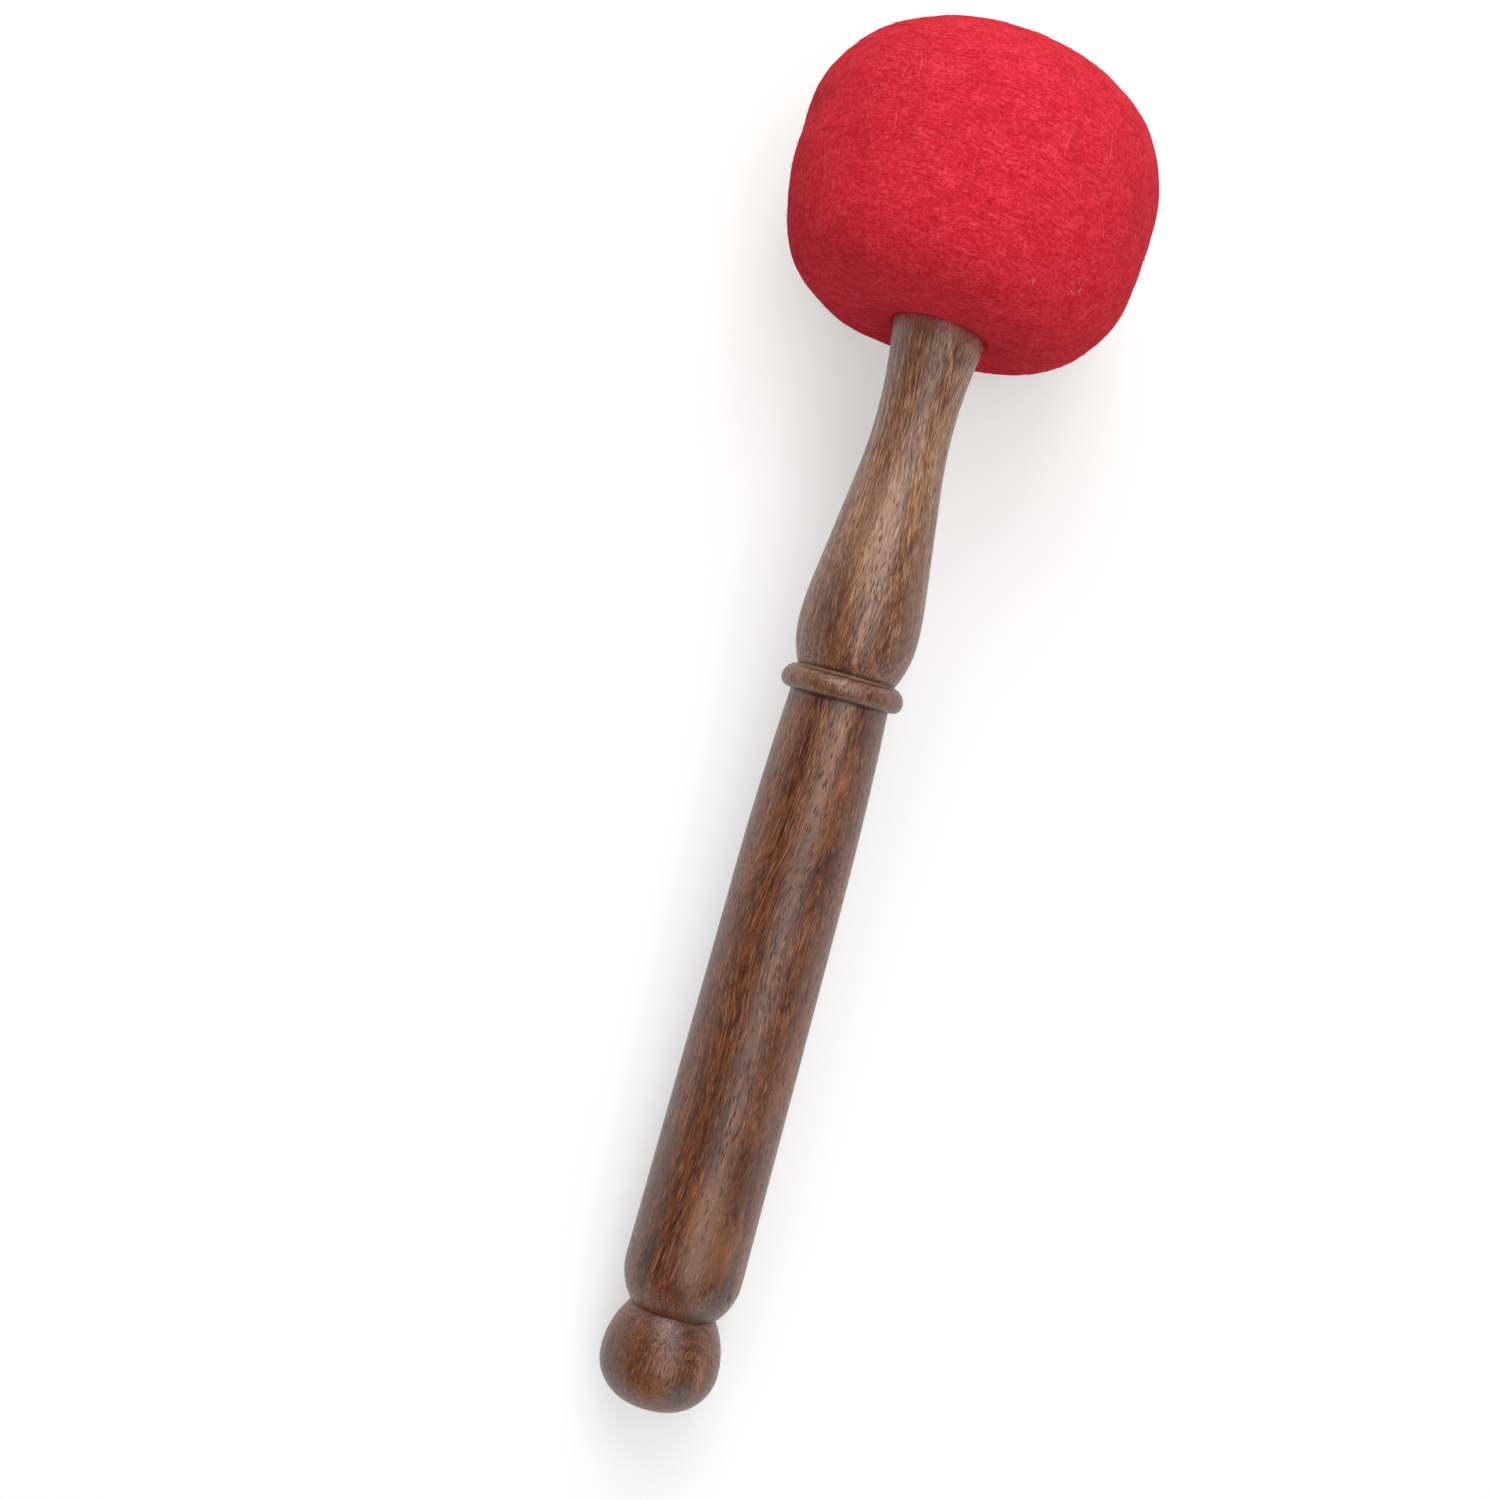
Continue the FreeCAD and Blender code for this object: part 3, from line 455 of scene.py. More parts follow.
# The head's own frame. The ball was felted by hand, so it leans 3.4 degrees to the right of
# the handle and 8.7 degrees down, and isn't quite centred on it. Its sizes are fitted to the
# photograph's outline.
feltHead = {
    "centre": 0.2631, "aside": -0.0014,  # its place along the handle, and to the right of the axis
    "leanRight": math.radians(3.4), "leanDown": math.radians(8.7),
    # its section: the radius, three heights from its centre and the reach of its curves' handles
    "radius": 0.03774, "girth": 0.00265, "crown": 0.0312, "base": -0.03074,
    "baseHandle": 0.0194, "lowerHandle": 0.0426, "upperHandle": 0.0119, "crownHandle": 0.0297,
    "wall": 0.0045,
    "lipInner": 0.0101, "lipTurn": 0.0113, "lipRise": 0.0009,
    "lipCurve": (0.0003, 0.0007),        # how far the lip's curve stays above and inside its end
    "lipGap": 0.0005,                    # from the lip's top up to the inner wall
    "steps": 400, "skinPoints": 84, "innerPoints": 10, "lipPoints": 8,
    "lumps": ((0.026, 0.00042), (0.010, 0.00020), (0.0032, 0.00007)),   # spacing and height
    # where the hand-felted outline swells or is pressed in: degrees from the crown to the
    # right, width in degrees, height in metres
    "swells": ((112, 24, 0.00115), (240, 20, -0.00117), (272, 9, -0.00058), (308, 18, 0.00043),
               (80, 12, 0.00020), (350, 13, 0.00024), (54, 9, 0.00045), (120, 10, 0.00025),
               (330, 8, 0.00035), (206, 10, 0.00070)),
    "seed": Vector((3.1, 7.7, 1.9)),
    "calmTo": 0.0215,                    # lumps and swells fade from this radius in to the neck
    "openingKept": (0.0105, 0.036),      # the opening follows the handle, and the rest the ball's lean
    "flatStart": 0.0007,                 # below this height the felt is pressed towards flat
}


def headFrame():
    axis = (handleAxis["toHead"] + handleAxis["toRight"] * math.tan(feltHead["leanRight"])
            - handleAxis["toViewer"] * math.tan(feltHead["leanDown"])).normalized()
    front = (handleAxis["toViewer"] - axis * axis.dot(handleAxis["toViewer"])).normalized()
    turn = axesMatrix(front, axis.cross(front), axis).to_4x4()
    centre = alongHandle(feltHead["centre"], right=feltHead["aside"])
    return Matrix.Translation(centre) @ turn


headPlace = headFrame()


def ballProfile(inset, points, start=None):
    # half a section of the ball, from its base to its crown: two Bezier curves that meet at the girth
    radius = feltHead["radius"] - inset
    share = radius / feltHead["radius"]
    base, crown = feltHead["base"] + inset, feltHead["crown"] - inset
    girth = feltHead["girth"]
    widest = (radius, 0, girth)
    low = interpolate_bezier(start or (0, 0, base), (feltHead["baseHandle"] * share, 0, base),
                             (radius, 0, girth - feltHead["lowerHandle"] * share), widest, points)
    high = interpolate_bezier(widest, (radius, 0, girth + feltHead["upperHandle"] * share),
                              (feltHead["crownHandle"] * share, 0, crown), (0, 0, crown), points)
    return list(low) + list(high)[1:]


def spinProfile(points, steps):
    # a section turned round the ball's own axis
    form = bmesh.new()
    ring = [form.verts.new(p) for p in points]
    edges = [form.edges.new(pair) for pair in zip(ring, ring[1:])]
    bmesh.ops.spin(form, geom=ring + edges, cent=(0, 0, 0), axis=(0, 0, 1), dvec=(0, 0, 0),
                   angle=2 * math.pi, steps=steps, use_merge=True, use_duplicate=False)
    bmesh.ops.remove_doubles(form, verts=form.verts, dist=1e-7)
    bmesh.ops.recalc_face_normals(form, faces=form.faces)
    return form


def smoothShare(value, start, end):
    t = min(1.0, max(0.0, (value - start) / (end - start)))
    return t * t * (3 - 2 * t)


def settle(point):
    # wool that would go below the table is pressed flat on it instead
    start = feltHead["flatStart"]
    if point.z < start:
        point.z = start * math.exp((point.z - start) / start)
    return point


def leaned(co):
    # into the head's frame, except that the opening stays round the handle
    place = headPlace @ co
    if co.z >= 0:
        return place
    share = 1 - smoothShare(math.hypot(co.x, co.y), *feltHead["openingKept"])
    along = (place - handleAxis["start"]).dot(handleAxis["toHead"])
    sideways = alongHandle(along) - headPlace @ Vector((0, 0, co.z))
    return place + (sideways - handleAxis["toHead"] * sideways.dot(handleAxis["toHead"])) * share


def outerSkin():
    # the ball's section without the part that the handle fills
    return [p for p in ballProfile(0.0, feltHead["skinPoints"]) if p.x > feltHead["lipTurn"] or p.z > 0]


def feltGrowth(co):
    # how far the skin stands out from the plain ball at a point: lumps all over, swells at the sides
    grown = sum(size * noise.noise(co / spread + feltHead["seed"]) for spread, size in feltHead["lumps"])
    turned = math.degrees(math.atan2(co.y, co.z))
    edge = min(1.0, math.hypot(co.y, co.z) / feltHead["radius"]) ** 2
    for angle, width, size in feltHead["swells"]:
        away = (turned - angle + 180) % 360 - 180
        grown += size * edge * math.exp(-(away / width) ** 2)
    return grown


def feltCalm(co):
    # nothing grows at the neck
    if co.z >= 0:
        return 1.0
    return smoothShare(math.hypot(co.x, co.y), feltHead["lipInner"], feltHead["calmTo"])


def feltForm():
    # inner wall from crown to base, then the lip round the neck, then the outer skin
    skin, neck = outerSkin(), feltHead["lipInner"]
    first, top = skin[0], skin[0].z + feltHead["lipRise"]
    inner = ballProfile(feltHead["wall"], feltHead["innerPoints"], (neck, 0, top + feltHead["lipGap"]))
    above, inside = feltHead["lipCurve"]
    lip = interpolate_bezier((neck, 0, top), (neck, 0, first.z + above), (first.x - inside, 0, first.z),
                             first, feltHead["lipPoints"])
    form = spinProfile(inner[::-1] + list(lip)[:-1] + skin, feltHead["steps"])
    for v in form.verts:
        # the wall's two sides grow together
        out = headPlace.to_3x3() @ v.co.normalized()
        v.co = settle(leaned(v.co) + out * feltGrowth(v.co) * feltCalm(v.co))
    bmesh.ops.recalc_face_normals(form, faces=form.faces)
    return form


def meshOf(form):
    # the mesh of a bmesh, which isn't needed after this
    mesh = bpy.data.meshes.new("form")
    form.to_mesh(mesh)
    form.free()
    return mesh


def finishPiece(mesh, name, materials, slotName, *replaced):
    mesh.name = name
    mesh.materials.clear()
    for material in materials:
        mesh.materials.append(material)
    for face in mesh.polygons:
        face.use_smooth = True
    piece = bpy.data.objects.new(name, mesh)
    bpy.context.scene.collection.objects.link(piece)
    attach(piece, "root")
    if replaced:
        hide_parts(*replaced)
    return piece


def laySpace(tree):
    # Object coordinates turned to the head's own frame
    place = addNode(tree, "TexCoord")
    return addNode(tree, "Mapping", {"Vector": place.outputs["Object"], "Location": headPlace.translation,
                                     "Rotation": headPlace.to_euler()}, vector_type="TEXTURE")


def woundStrands(tree, space, pole, seed, size):
    # strands in rings round one of the head's directions, the pole: the pattern changes fast
    # along the arc from the pole and slowly round it
    axes = addNode(tree, "SeparateXYZ", {0: space})
    order = {"X": "YZX", "Z": "XYZ"}[pole]
    first, second, up = (axes.outputs[letter] for letter in order)
    ring = addNode(tree, "CombineXYZ", {0: first, 1: second})
    out = addNode(tree, "VectorMath", {0: ring}, operation="LENGTH")
    angle = addNode(tree, "Math", {0: out.outputs["Value"], 1: up}, operation="ARCTAN2")
    arc = addNode(tree, "Math", {0: angle, 1: feltHead["radius"]}, operation="MULTIPLY")
    lay = addNode(tree, "CombineXYZ", {0: first, 1: second, 2: arc})
    across, along = (perMillimetre(mm) for mm in size)
    spread = addNode(tree, "VectorMath", {0: lay, 1: (along, along, across),
                                          2: (seed, seed * 1.7, seed * 0.6)}, operation="MULTIPLY_ADD")
    return addNode(tree, "TexNoise", {"Vector": spread, "Scale": 1.0, "Detail": 2.0, "Roughness": 0.55})


def feltMaterial():
    material, tree, shader = newMaterial("needle_felted_red_wool", Roughness=0.93, IOR=1.45,
                                         Specular_IOR_Level=0.1, Sheen_Weight=0.12, Sheen_Roughness=0.6,
                                         Sheen_Tint="#ff6a76")
    space = laySpace(tree)
    wandering = stirred(tree, space, redWool["swirl"], 1.0, redWool["wander"])
    girthStrands = woundStrands(tree, wandering, "Z", 3.7, redWool["strand"])
    faceStrands = woundStrands(tree, wandering, "X", 11.3, redWool["strand"])

    # round the girth in the middle of the upper side, round the upright where the sides turn away
    axes = addNode(tree, "SeparateXYZ", {0: space})
    height = addNode(tree, "Math", {0: axes.outputs["X"]}, operation="ABSOLUTE")
    share = addNode(tree, "MapRange", {"Value": height, "From Min": redWool["girthFrom"],
                                       "From Max": redWool["girthFull"]})
    patterns = {"strand": addNode(tree, "Mix", {0: share, 2: faceStrands, 3: girthStrands})}
    for name, roughness in (("mottle", 0.5), ("fleck", 0.55)):
        patterns[name] = addNode(tree, "TexNoise", {"Vector": space, "Scale": perMillimetre(redWool[name]),
                                                    "Detail": 2.0, "Roughness": roughness})
    # the tone also makes the relief: its dark end is painted shade in the hollows, its light end partly
    # painted light on the proud strands
    tone = blended(tree, patterns, redWool["toneShares"])
    colour = addNode(tree, "ValToRGB", {"Fac": tone}, stops=redWool["tones"])
    relief = addNode(tree, "Bump", {"Height": tone, "Strength": 0.5, "Distance": redWool["relief"]})
    feed(tree, shader, {"Base Color": colour, "Normal": relief})
    return material


skinForm = feltForm()
skinTree = BVHTree.FromBMesh(skinForm)
feltPiece = finishPiece(meshOf(skinForm), "felt_head", [feltMaterial()], "red_wool_felt", "felt_cover")
print("felt head made:", len(feltPiece.data.polygons), "faces")


# Undyed wool batting between the core and the felt, cream and matt, wound round and round; the
# finished mallet hides it.
batting = {
    "gap": 0.0002, "coreGap": 0.0003,    # to the felt, and to the core
    "coreHalf": 0.018,                   # half the core's length
    "seatRadius": 0.0108,                # of the opening round the handle
    "lipGap": 0.0009,                    # from the top of the felt's lip up to the batting
    "steps": 96, "points": 14,
    "strand": (0.5, 8), "tones": ((0.35, "#cbbfa8"), (0.65, "#efe7d6")), "relief": 0.0008,
}


def battingMaterial():
    material, tree, shader = newMaterial("undyed_wool_batting", Roughness=0.95, Sheen_Weight=0.3)
    space = laySpace(tree)
    strands = woundStrands(tree, space, "Z", 5.1, batting["strand"])
    colour = addNode(tree, "ValToRGB", {"Fac": strands}, stops=batting["tones"])
    relief = addNode(tree, "Bump", {"Height": strands, "Strength": 0.7, "Distance": batting["relief"]})
    feed(tree, shader, {"Base Color": colour, "Normal": relief})
    return material


def battingForm():
    # a hollow ball round the core, open at the neck, with the core's own room inside
    low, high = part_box("head_core")
    coreRadius = (high.y - low.y) / 2 + batting["coreGap"]
    middle = ((low + high) / 2 - handleAxis["start"]).dot(handleAxis["toHead"]) - feltHead["centre"]
    bottom, top = (middle + side * (batting["coreHalf"] + batting["coreGap"]) for side in (-1, 1))
    start = (batting["seatRadius"], 0, outerSkin()[0].z + feltHead["lipRise"] + batting["lipGap"])
    outside = ballProfile(feltHead["wall"] + batting["gap"], batting["points"], start)
    room = [Vector((batting["seatRadius"], 0, bottom)), Vector((coreRadius, 0, bottom)),
            Vector((coreRadius, 0, top)), Vector((0, 0, top))]
    form = spinProfile(room[::-1] + outside, batting["steps"])
    tiny = 1e-6
    for v in form.verts:
        beside = math.hypot(v.co.x, v.co.y) < coreRadius + tiny
        if beside and bottom - tiny < v.co.z < top + tiny:
            v.co = alongHandle(feltHead["centre"] + v.co.z, v.co.y, v.co.x)
        else:
            v.co = leaned(v.co)
    bmesh.ops.recalc_face_normals(form, faces=form.faces)
    return form


battingPiece = finishPiece(meshOf(battingForm()), "wool_batting", [battingMaterial()], "undyed_wool",
                           "wool_padding")
print("batting made")


# Loose strands of the same wool that lie on the felt, some hairs that stand off it, and specks
# of pale lint where the photograph shows them: matt, a little uneven in shade, and drawn thicker
# than real ones, to show.
looseWool = {
    "seed": 41, "thickness": 0.000045,
    "turn": 0.17, "shake": 0.05,         # how a strand bends and wobbles at each point, in radians
    "scatter": 0.7,                      # how far it lies off the felt's own strands, in radians
    "tip": 0.35,                         # how thin its ends are
    "shades": (("#d5303e", 0.62), ("#e24f5c", 0.36), ("#ea7580", 0.02)),   # and their shares
    "unevenness": 2.5, "brightness": (0.82, 1.16),
    # "lift" is how high they lie, and "rise" how many times that their ends stand higher
    "strands": {"count": 2300, "points": 9, "length": (0.004, 0.014), "lift": (-0.00003, 0.00005),
                "rise": 0.6},
    "hairs": {"count": 200, "points": 8, "length": (0.004, 0.009), "lift": (0.00003, 0.00008),
              "rise": 7.0},
    "girthFrom": 0.014, "girthFull": 0.032,   # as in the felt itself
    "neck": 0.2330, "neckFree": 0.0145,  # no strand starts this near to the opening's middle
    "rayStart": 0.08,                    # rays to the felt start this far from the ball's centre
}
# fuzz round the opening, that lies on the wood
collar = {
    "count": 800, "points": 5, "length": (0.0004, 0.0030), "start": 0.0003,
    "slant": 0.9,                        # how far a hair strays round the neck, of its length
    "lift": (0.00002, 0.0002), "lowest": 0.2,   # its height in the middle, and the ends' share of it
    "thickStart": 0.5, "thinning": 0.25,
    "rayStart": 0.02,                    # rays to the wood start this far from the handle's axis
}
# specks of lint and stray hairs
lint = {
    "seed": 12, "thickness": 0.000045, "turn": 0.6, "scatter": 2.0, "shade": "#e4928f",
    "specks": {"points": 5, "length": (0.0003, 0.0010), "lift": (0.00002, 0.00008), "rise": 1.0},
    # pixels of the photograph, with how many specks lie round each
    "places": (((1034, 280), 9), ((1074, 292), 9), ((1082, 278), 4), ((1103, 234), 1)),
    "spread": 0.0022,
    # stray hairs, from pixel to pixel, with how many pixels they bow
    "hairs": (((921, 50), (918, 77), 2), ((1076, 128), (1064, 157), -2), ((1111, 144), (1106, 167), 2),
              ((909, 63), (903, 78), -1), ((896, 110), (892, 132), 2), ((1102, 222), (1103, 238), 1)),
    "hairShade": "#d3343f", "hairPoints": 9, "hairLift": 0.00004, "hairTip": 0.3,
}


def strandMaterial(name, colour):
    material, tree, shader = newMaterial(name, Roughness=0.9, Specular_IOR_Level=0.15)
    space = laySpace(tree)
    uneven = addNode(tree, "TexNoise", {"Vector": space, "Detail": 1.0,
                                        "Scale": perMillimetre(looseWool["unevenness"])})
    darkest, brightest = looseWool["brightness"]
    light = addNode(tree, "MapRange", {"Value": uneven, "From Min": 0.3, "From Max": 0.7,
                                       "To Min": darkest, "To Max": brightest})
    shade = addNode(tree, "HueSaturation", {"Color": colour, "Value": light})
    feed(tree, shader, {"Base Color": shade})
    return material


def strandDirection(point, normal, chance, scatter):
    # round the girth in the middle of the upper and lower sides, round the upright elsewhere
    local = headPlace.inverted() @ point
    share = smoothShare(abs(local.x), looseWool["girthFrom"], looseWool["girthFull"])
    axis = headPlace.to_3x3() @ (Vector((1, 0, 0)) * (1 - share) + Vector((0, 0, 1)) * share)
    lay = axis.cross(normal)
    if lay.length < 1e-4:
        lay = normal.orthogonal()
    lay.normalize()
    lay.rotate(Matrix.Rotation(chance.gauss(0, scatter), 3, normal))
    return lay * chance.choice((-1, 1))


def layStrand(curve, kind, sizes, start, normal, chance, shade):
    # walks over the felt from a point, bending a little, with both ends a bit higher than the middle
    steps = sizes["points"]
    step = chance.uniform(*sizes["length"]) / (steps - 1)
    lift = chance.uniform(*sizes["lift"])
    heading = strandDirection(start, normal, chance, kind["scatter"])
    bend = chance.gauss(0, kind["turn"])
    place, places = start, []
    for number in range(steps):
        where, facing = skinTree.find_nearest(place)[:2]
        ends = abs(2 * number / (steps - 1) - 1) ** 3
        places.append(settle(where + facing * lift * (1 + sizes["rise"] * ends)))
        heading = heading - facing * heading.dot(facing)
        heading.normalize()
        heading.rotate(Matrix.Rotation(bend + chance.gauss(0, looseWool["shake"]), 3, facing))
        place = where + heading * step
    spline = curve.splines.new("POLY")
    spline.points.add(steps - 1)
    for point, co in zip(spline.points, places):
        point.co = (*co, 1)
    spline.points[0].radius = spline.points[-1].radius = looseWool["tip"]
    spline.material_index = shade


def woodRadius(along, angle, woodTree):
    # how far out the handle's surface is, by a ray from outside
    out = alongHandle(0, math.sin(angle), math.cos(angle)) - handleAxis["start"]
    axis = alongHandle(along)
    return (woodTree.ray_cast(axis + out * collar["rayStart"], -out)[0] - axis).length


def layCollarHair(curve, chance, shade, woodTree):
    # from the felt's opening a short way over the wood towards the grip
    angle = chance.uniform(0, 2 * math.pi)
    shortest, longest = collar["length"]
    length = shortest + (longest - shortest) * chance.random() ** 3   # most of them are short
    turn, lift = chance.gauss(0, collar["slant"]) * length, chance.uniform(*collar["lift"])
    radius, top = feltHead["lipInner"], outerSkin()[0].z
    opening = leaned(Vector((radius * math.cos(angle), radius * math.sin(angle), top)))
    along = (opening - handleAxis["start"]).dot(handleAxis["toHead"]) + collar["start"]
    steps = collar["points"] - 1
    spline = curve.splines.new("POLY")
    spline.points.add(steps)
    for number, point in enumerate(spline.points):
        share = number / steps
        at, distance = angle + turn * share / radius, along - length * share
        out = woodRadius(distance, at, woodTree) + lift * (collar["lowest"] + math.sin(math.pi * share))
        place = alongHandle(distance, out * math.sin(at), out * math.cos(at))
        point.co = (*settle(place), 1)
        point.radius = collar["thickStart"] - collar["thinning"] * share
    spline.material_index = shade


def randomSkinPoint(chance):
    # evenly over the ball, by a ray from outside towards its centre
    out = Vector((chance.gauss(0, 1), chance.gauss(0, 1), chance.gauss(0, 1))).normalized()
    centre = headPlace.translation
    return skinTree.ray_cast(centre + out * looseWool["rayStart"], -out)[:2]


def photoSkinPoint(pixel):
    # where a pixel of the photograph falls on the felt
    across, down = (at - size / 2 for at, size in zip(pixel, camera["frame"]))
    ray = (cameraTurn @ Vector((across, -down, -camera["focalPixels"]))).normalized()
    return skinTree.ray_cast(bpy.context.scene.camera.location, ray)[:2]


def tubeMesh(curve):
    # a mesh of the strands' curve
    holder = bpy.data.objects.new("strands", curve)
    mesh = bpy.data.meshes.new_from_object(holder)
    bpy.data.objects.remove(holder)
    return mesh


def layHair(curve, start, end, bow, shade):
    # a hair between two pixels of the photograph, on the felt
    aside = Vector((end[1] - start[1], start[0] - end[0])).normalized()
    steps, tip = lint["hairPoints"] - 1, lint["hairTip"]
    spline = curve.splines.new("POLY")
    spline.points.add(steps)
    for number, point in enumerate(spline.points):
        share = number / steps
        swell = math.sin(math.pi * share)
        place, normal = photoSkinPoint(Vector(start).lerp(Vector(end), share) + aside * bow * swell)
        point.co = (*(place + normal * lint["hairLift"]), 1)
        point.radius = tip + tip * swell
    spline.material_index = shade


def newStrandCurve(name, thickness):
    curve = bpy.data.curves.new(name, "CURVE")
    curve.dimensions = "3D"
    curve.bevel_depth = thickness
    curve.bevel_resolution = 0
    curve.use_fill_caps = True
    return curve


def layWool():
    chance = random.Random(looseWool["seed"])
    curve = newStrandCurve("loose_wool", looseWool["thickness"])
    colours, weights = zip(*looseWool["shades"])
    opening = alongHandle(looseWool["neck"])
    for sizes in (looseWool["strands"], looseWool["hairs"]):
        for _ in range(sizes["count"]):
            start, normal = randomSkinPoint(chance)
            shade = chance.choices(range(len(colours)), weights)[0]
            if start is not None and (start - opening).length > looseWool["neckFree"]:
                layStrand(curve, looseWool, sizes, start, normal, chance, shade)
    woodTree = BVHTree.FromObject(nodes["handle"], bpy.context.evaluated_depsgraph_get())
    for _ in range(collar["count"]):
        layCollarHair(curve, chance, 0, woodTree)
    materials = [strandMaterial("red_wool_strand_%d" % (n + 1), colour) for n, colour in enumerate(colours)]
    return finishPiece(tubeMesh(curve), "loose_wool", materials, "red_wool_felt")


def layLint():
    chance = random.Random(lint["seed"])
    curve = newStrandCurve("lint_specks", lint["thickness"])
    for pixel, count in lint["places"]:
        middle, normal = photoSkinPoint(pixel)
        for _ in range(count):
            side = normal.orthogonal().normalized() * abs(chance.gauss(0, lint["spread"] / 2))
            side.rotate(Matrix.Rotation(chance.uniform(0, 2 * math.pi), 3, normal))
            layStrand(curve, lint, lint["specks"], middle + side, normal, chance, 0)
    for start, end, bow in lint["hairs"]:
        layHair(curve, start, end, bow, 1)
    materials = [strandMaterial("pale_wool_lint", lint["shade"]),
                 strandMaterial("stray_wool_hair", lint["hairShade"])]
    return finishPiece(tubeMesh(curve), "lint_specks", materials, "red_wool_felt")


woolPiece = layWool()
lintPiece = layLint()
print("loose wool laid:", len(woolPiece.data.polygons), "faces, lint:", len(lintPiece.data.polygons))


# The hidden core: plain turned beech, pale and matt with a faint grain, and a screw and washer of
# zinc-plated steel, a cool grey with slight clouds.
core = {
    "fibre": (0.8, 0.8, 20), "beechTones": ((0.35, "#b98d60"), (0.65, "#dcb88c")),
    "cloud": 2.0, "zincTones": ((0.35, "#a9adb0"), (0.65, "#c6cacc")), "zincRoughness": (0.28, 0.45),
}


def beechMaterial():
    material, tree, shader = newMaterial("turned_beech_unfinished", Roughness=0.6, IOR=1.5)
    fibres = addNode(tree, "TexNoise", {"Vector": scaled(tree, grainSpace(tree), core["fibre"]),
                                        "Scale": 1.0, "Detail": 3.0})
    colour = addNode(tree, "ValToRGB", {"Fac": fibres}, stops=core["beechTones"])
    feed(tree, shader, {"Base Color": colour})
    return material


def zincMaterial():
    material, tree, shader = newMaterial("zinc_plated_steel", Metallic=1.0, Roughness=0.35)
    clouds = addNode(tree, "TexNoise", {"Vector": grainSpace(tree), "Scale": perMillimetre(core["cloud"]),
                                        "Detail": 2.0})
    colour = addNode(tree, "ValToRGB", {"Fac": clouds}, stops=core["zincTones"])
    smoothest, roughest = core["zincRoughness"]
    rough = addNode(tree, "MapRange", {"Value": clouds, "To Min": smoothest, "To Max": roughest})
    feed(tree, shader, {"Base Color": colour, "Roughness": rough})
    return material


beech, zinc = beechMaterial(), zincMaterial()
for name, material in (("head_core", beech), ("core_washer", zinc), ("core_screw", zinc)):
    dress(name, material)
print("core dressed")


# A white paper table and soft studio light: a large lamp beyond the head, a long softbox beside
# the camera that lies along the handle, a weak lamp towards the pommel that reaches under the head,
# and an even sky, white behind the mallet and darker overhead where the oiled wood mirrors it.
# Where a lamp stands is as the camera sees it: right, up, back.
studio = {
    "floorSize": 30.0, "floorColour": "#c4c4c4",
    # how much the seen floor glows near the mallet and far off, and how far out that changes
    "floorGlow": 0.44, "glowFar": 0.82, "farFrom": 0.35, "farTo": 1.2,
    # the sky's light, how bright it is mirrored overhead, and the rays' slopes between which the
    # mirrored sky darkens
    "skyLight": 0.34, "skyOverhead": 0.03, "skyFrom": 0.12, "skyTo": 0.40,
    "lamps": (
        {"name": "top_lamp", "size": (0.9, 0.9), "away": 1.3, "power": 10.5,
         "from": Vector((0.10, 0.80, 0.60))},
        {"name": "softbox", "size": (0.75, 1.5), "away": 1.2, "power": 8.4,
         "from": Vector((0.24, 0.06, 0.95))},
        {"name": "low_fill", "size": (0.7, 0.7), "away": 1.2, "power": 1.6,
         "from": Vector((0.28, -0.85, 0.38))},
    ),
}


def whiteWhenSeen(tree):
    # 1 for rays that show the background: to the camera, in gloss and through glass
    path = addNode(tree, "LightPath")
    seen = addNode(tree, "Math", {0: path.outputs["Is Camera Ray"], 1: path.outputs["Is Glossy Ray"]},
                   operation="MAXIMUM")
    return addNode(tree, "Math", {0: seen, 1: path.outputs["Is Transmission Ray"]}, operation="MAXIMUM")


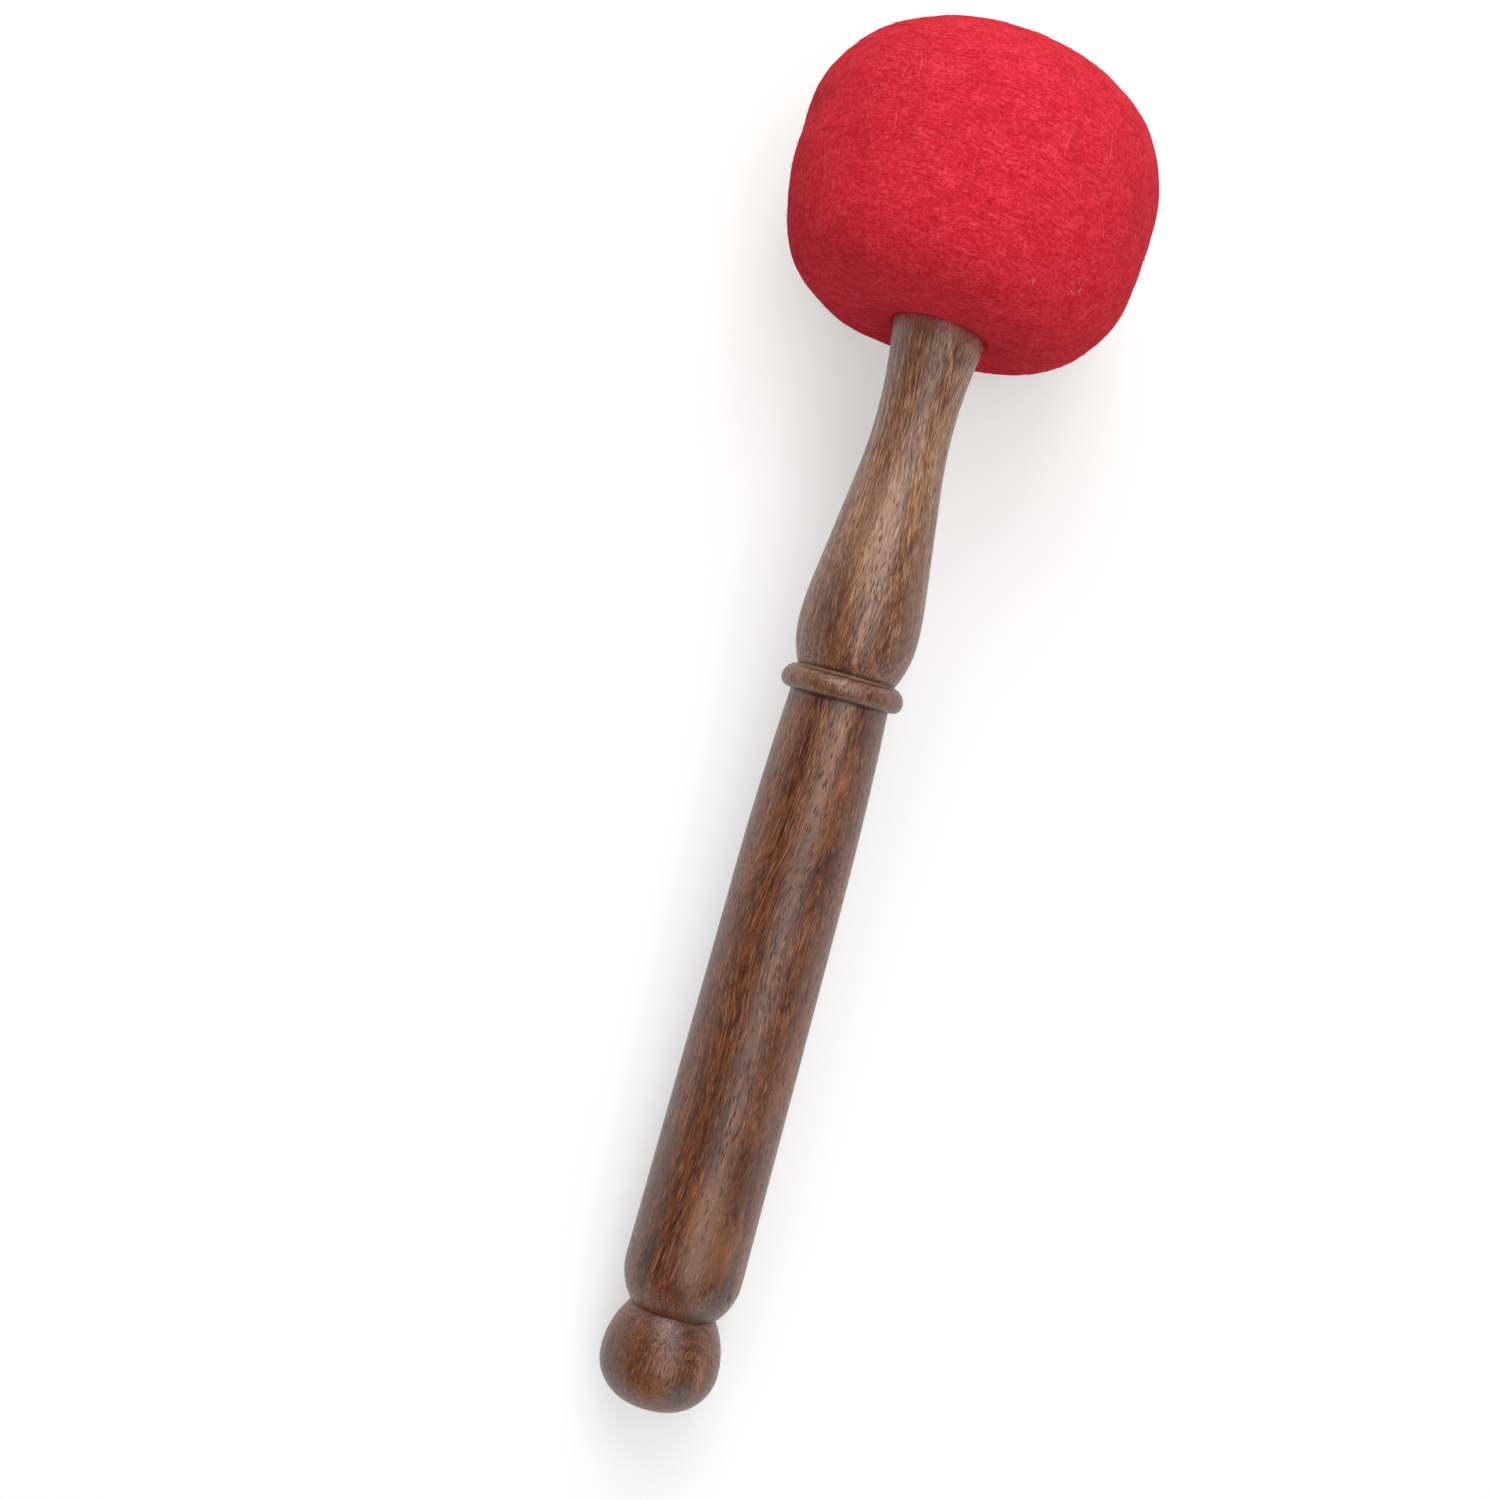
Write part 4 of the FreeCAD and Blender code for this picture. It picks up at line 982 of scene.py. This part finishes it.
def paperMaterial():
    material = bpy.data.materials.new("white_table_paper")
    material.use_nodes = True
    tree = material.node_tree
    tree.nodes.clear()
    paper = addNode(tree, "BsdfDiffuse", {"Color": studio["floorColour"]})
    # the lamps don't reach the far floor, so it glows more, up to a white horizon
    reach = addNode(tree, "VectorMath", {0: addNode(tree, "TexCoord").outputs["Object"]}, operation="LENGTH")
    farness = addNode(tree, "MapRange", {"Value": reach.outputs["Value"], "From Min": studio["farFrom"],
                                         "From Max": studio["farTo"], "To Min": studio["floorGlow"],
                                         "To Max": studio["glowFar"]}, interpolation_type="SMOOTHSTEP")
    glow = addNode(tree, "Math", {0: whiteWhenSeen(tree), 1: farness}, operation="MULTIPLY")
    light = addNode(tree, "Emission", {"Strength": glow})
    both = addNode(tree, "AddShader", {0: paper, 1: light})
    addNode(tree, "OutputMaterial", {"Surface": both})
    return material


def layTable():
    form = bmesh.new()
    bmesh.ops.create_grid(form, x_segments=1, y_segments=1, size=studio["floorSize"] / 2)
    mesh = meshOf(form)
    mesh.name = "table_top"
    mesh.materials.append(paperMaterial())
    floor = bpy.data.objects.new("table_top", mesh)
    bpy.context.scene.collection.objects.link(floor)


def hangSky():
    world = bpy.data.worlds.new("studio_sky")
    world.use_nodes = True
    tree = world.node_tree
    tree.nodes.clear()
    height = addNode(tree, "SeparateXYZ", {0: addNode(tree, "TexCoord").outputs["Generated"]})
    shown = addNode(tree, "MapRange", {"Value": height.outputs["Z"], "From Min": studio["skyFrom"],
                                       "From Max": studio["skyTo"], "To Min": 1.0,
                                       "To Max": studio["skyOverhead"]}, interpolation_type="SMOOTHSTEP")
    white = addNode(tree, "Math", {0: shown, 1: addNode(tree, "LightPath").outputs["Is Camera Ray"]},
                    operation="MAXIMUM")
    strength = addNode(tree, "Mix", {0: whiteWhenSeen(tree), 2: studio["skyLight"], 3: white})
    sky = addNode(tree, "Background", {"Color": "#ffffff", "Strength": strength})
    addNode(tree, "OutputWorld", {"Surface": sky})
    bpy.context.scene.world = world


def standLamps():
    for lamp in studio["lamps"]:
        data = bpy.data.lights.new(lamp["name"], "AREA")
        data.shape = "RECTANGLE"
        data.size, data.size_y = lamp["size"]
        data.energy = lamp["power"]
        body = bpy.data.objects.new(lamp["name"], data)
        away = (cameraTurn @ lamp["from"]).normalized()
        across = handleAxis["toHead"].cross(away).normalized()
        body.rotation_mode = "QUATERNION"
        body.rotation_quaternion = axesMatrix(across, away.cross(across), away).to_quaternion()
        body.location = alongHandle(camera["aimAlong"]) + away * lamp["away"]
        bpy.context.scene.collection.objects.link(body)


layTable()
hangSky()
standLamps()
bpy.context.scene.view_settings.view_transform = "Standard"
print("studio set")
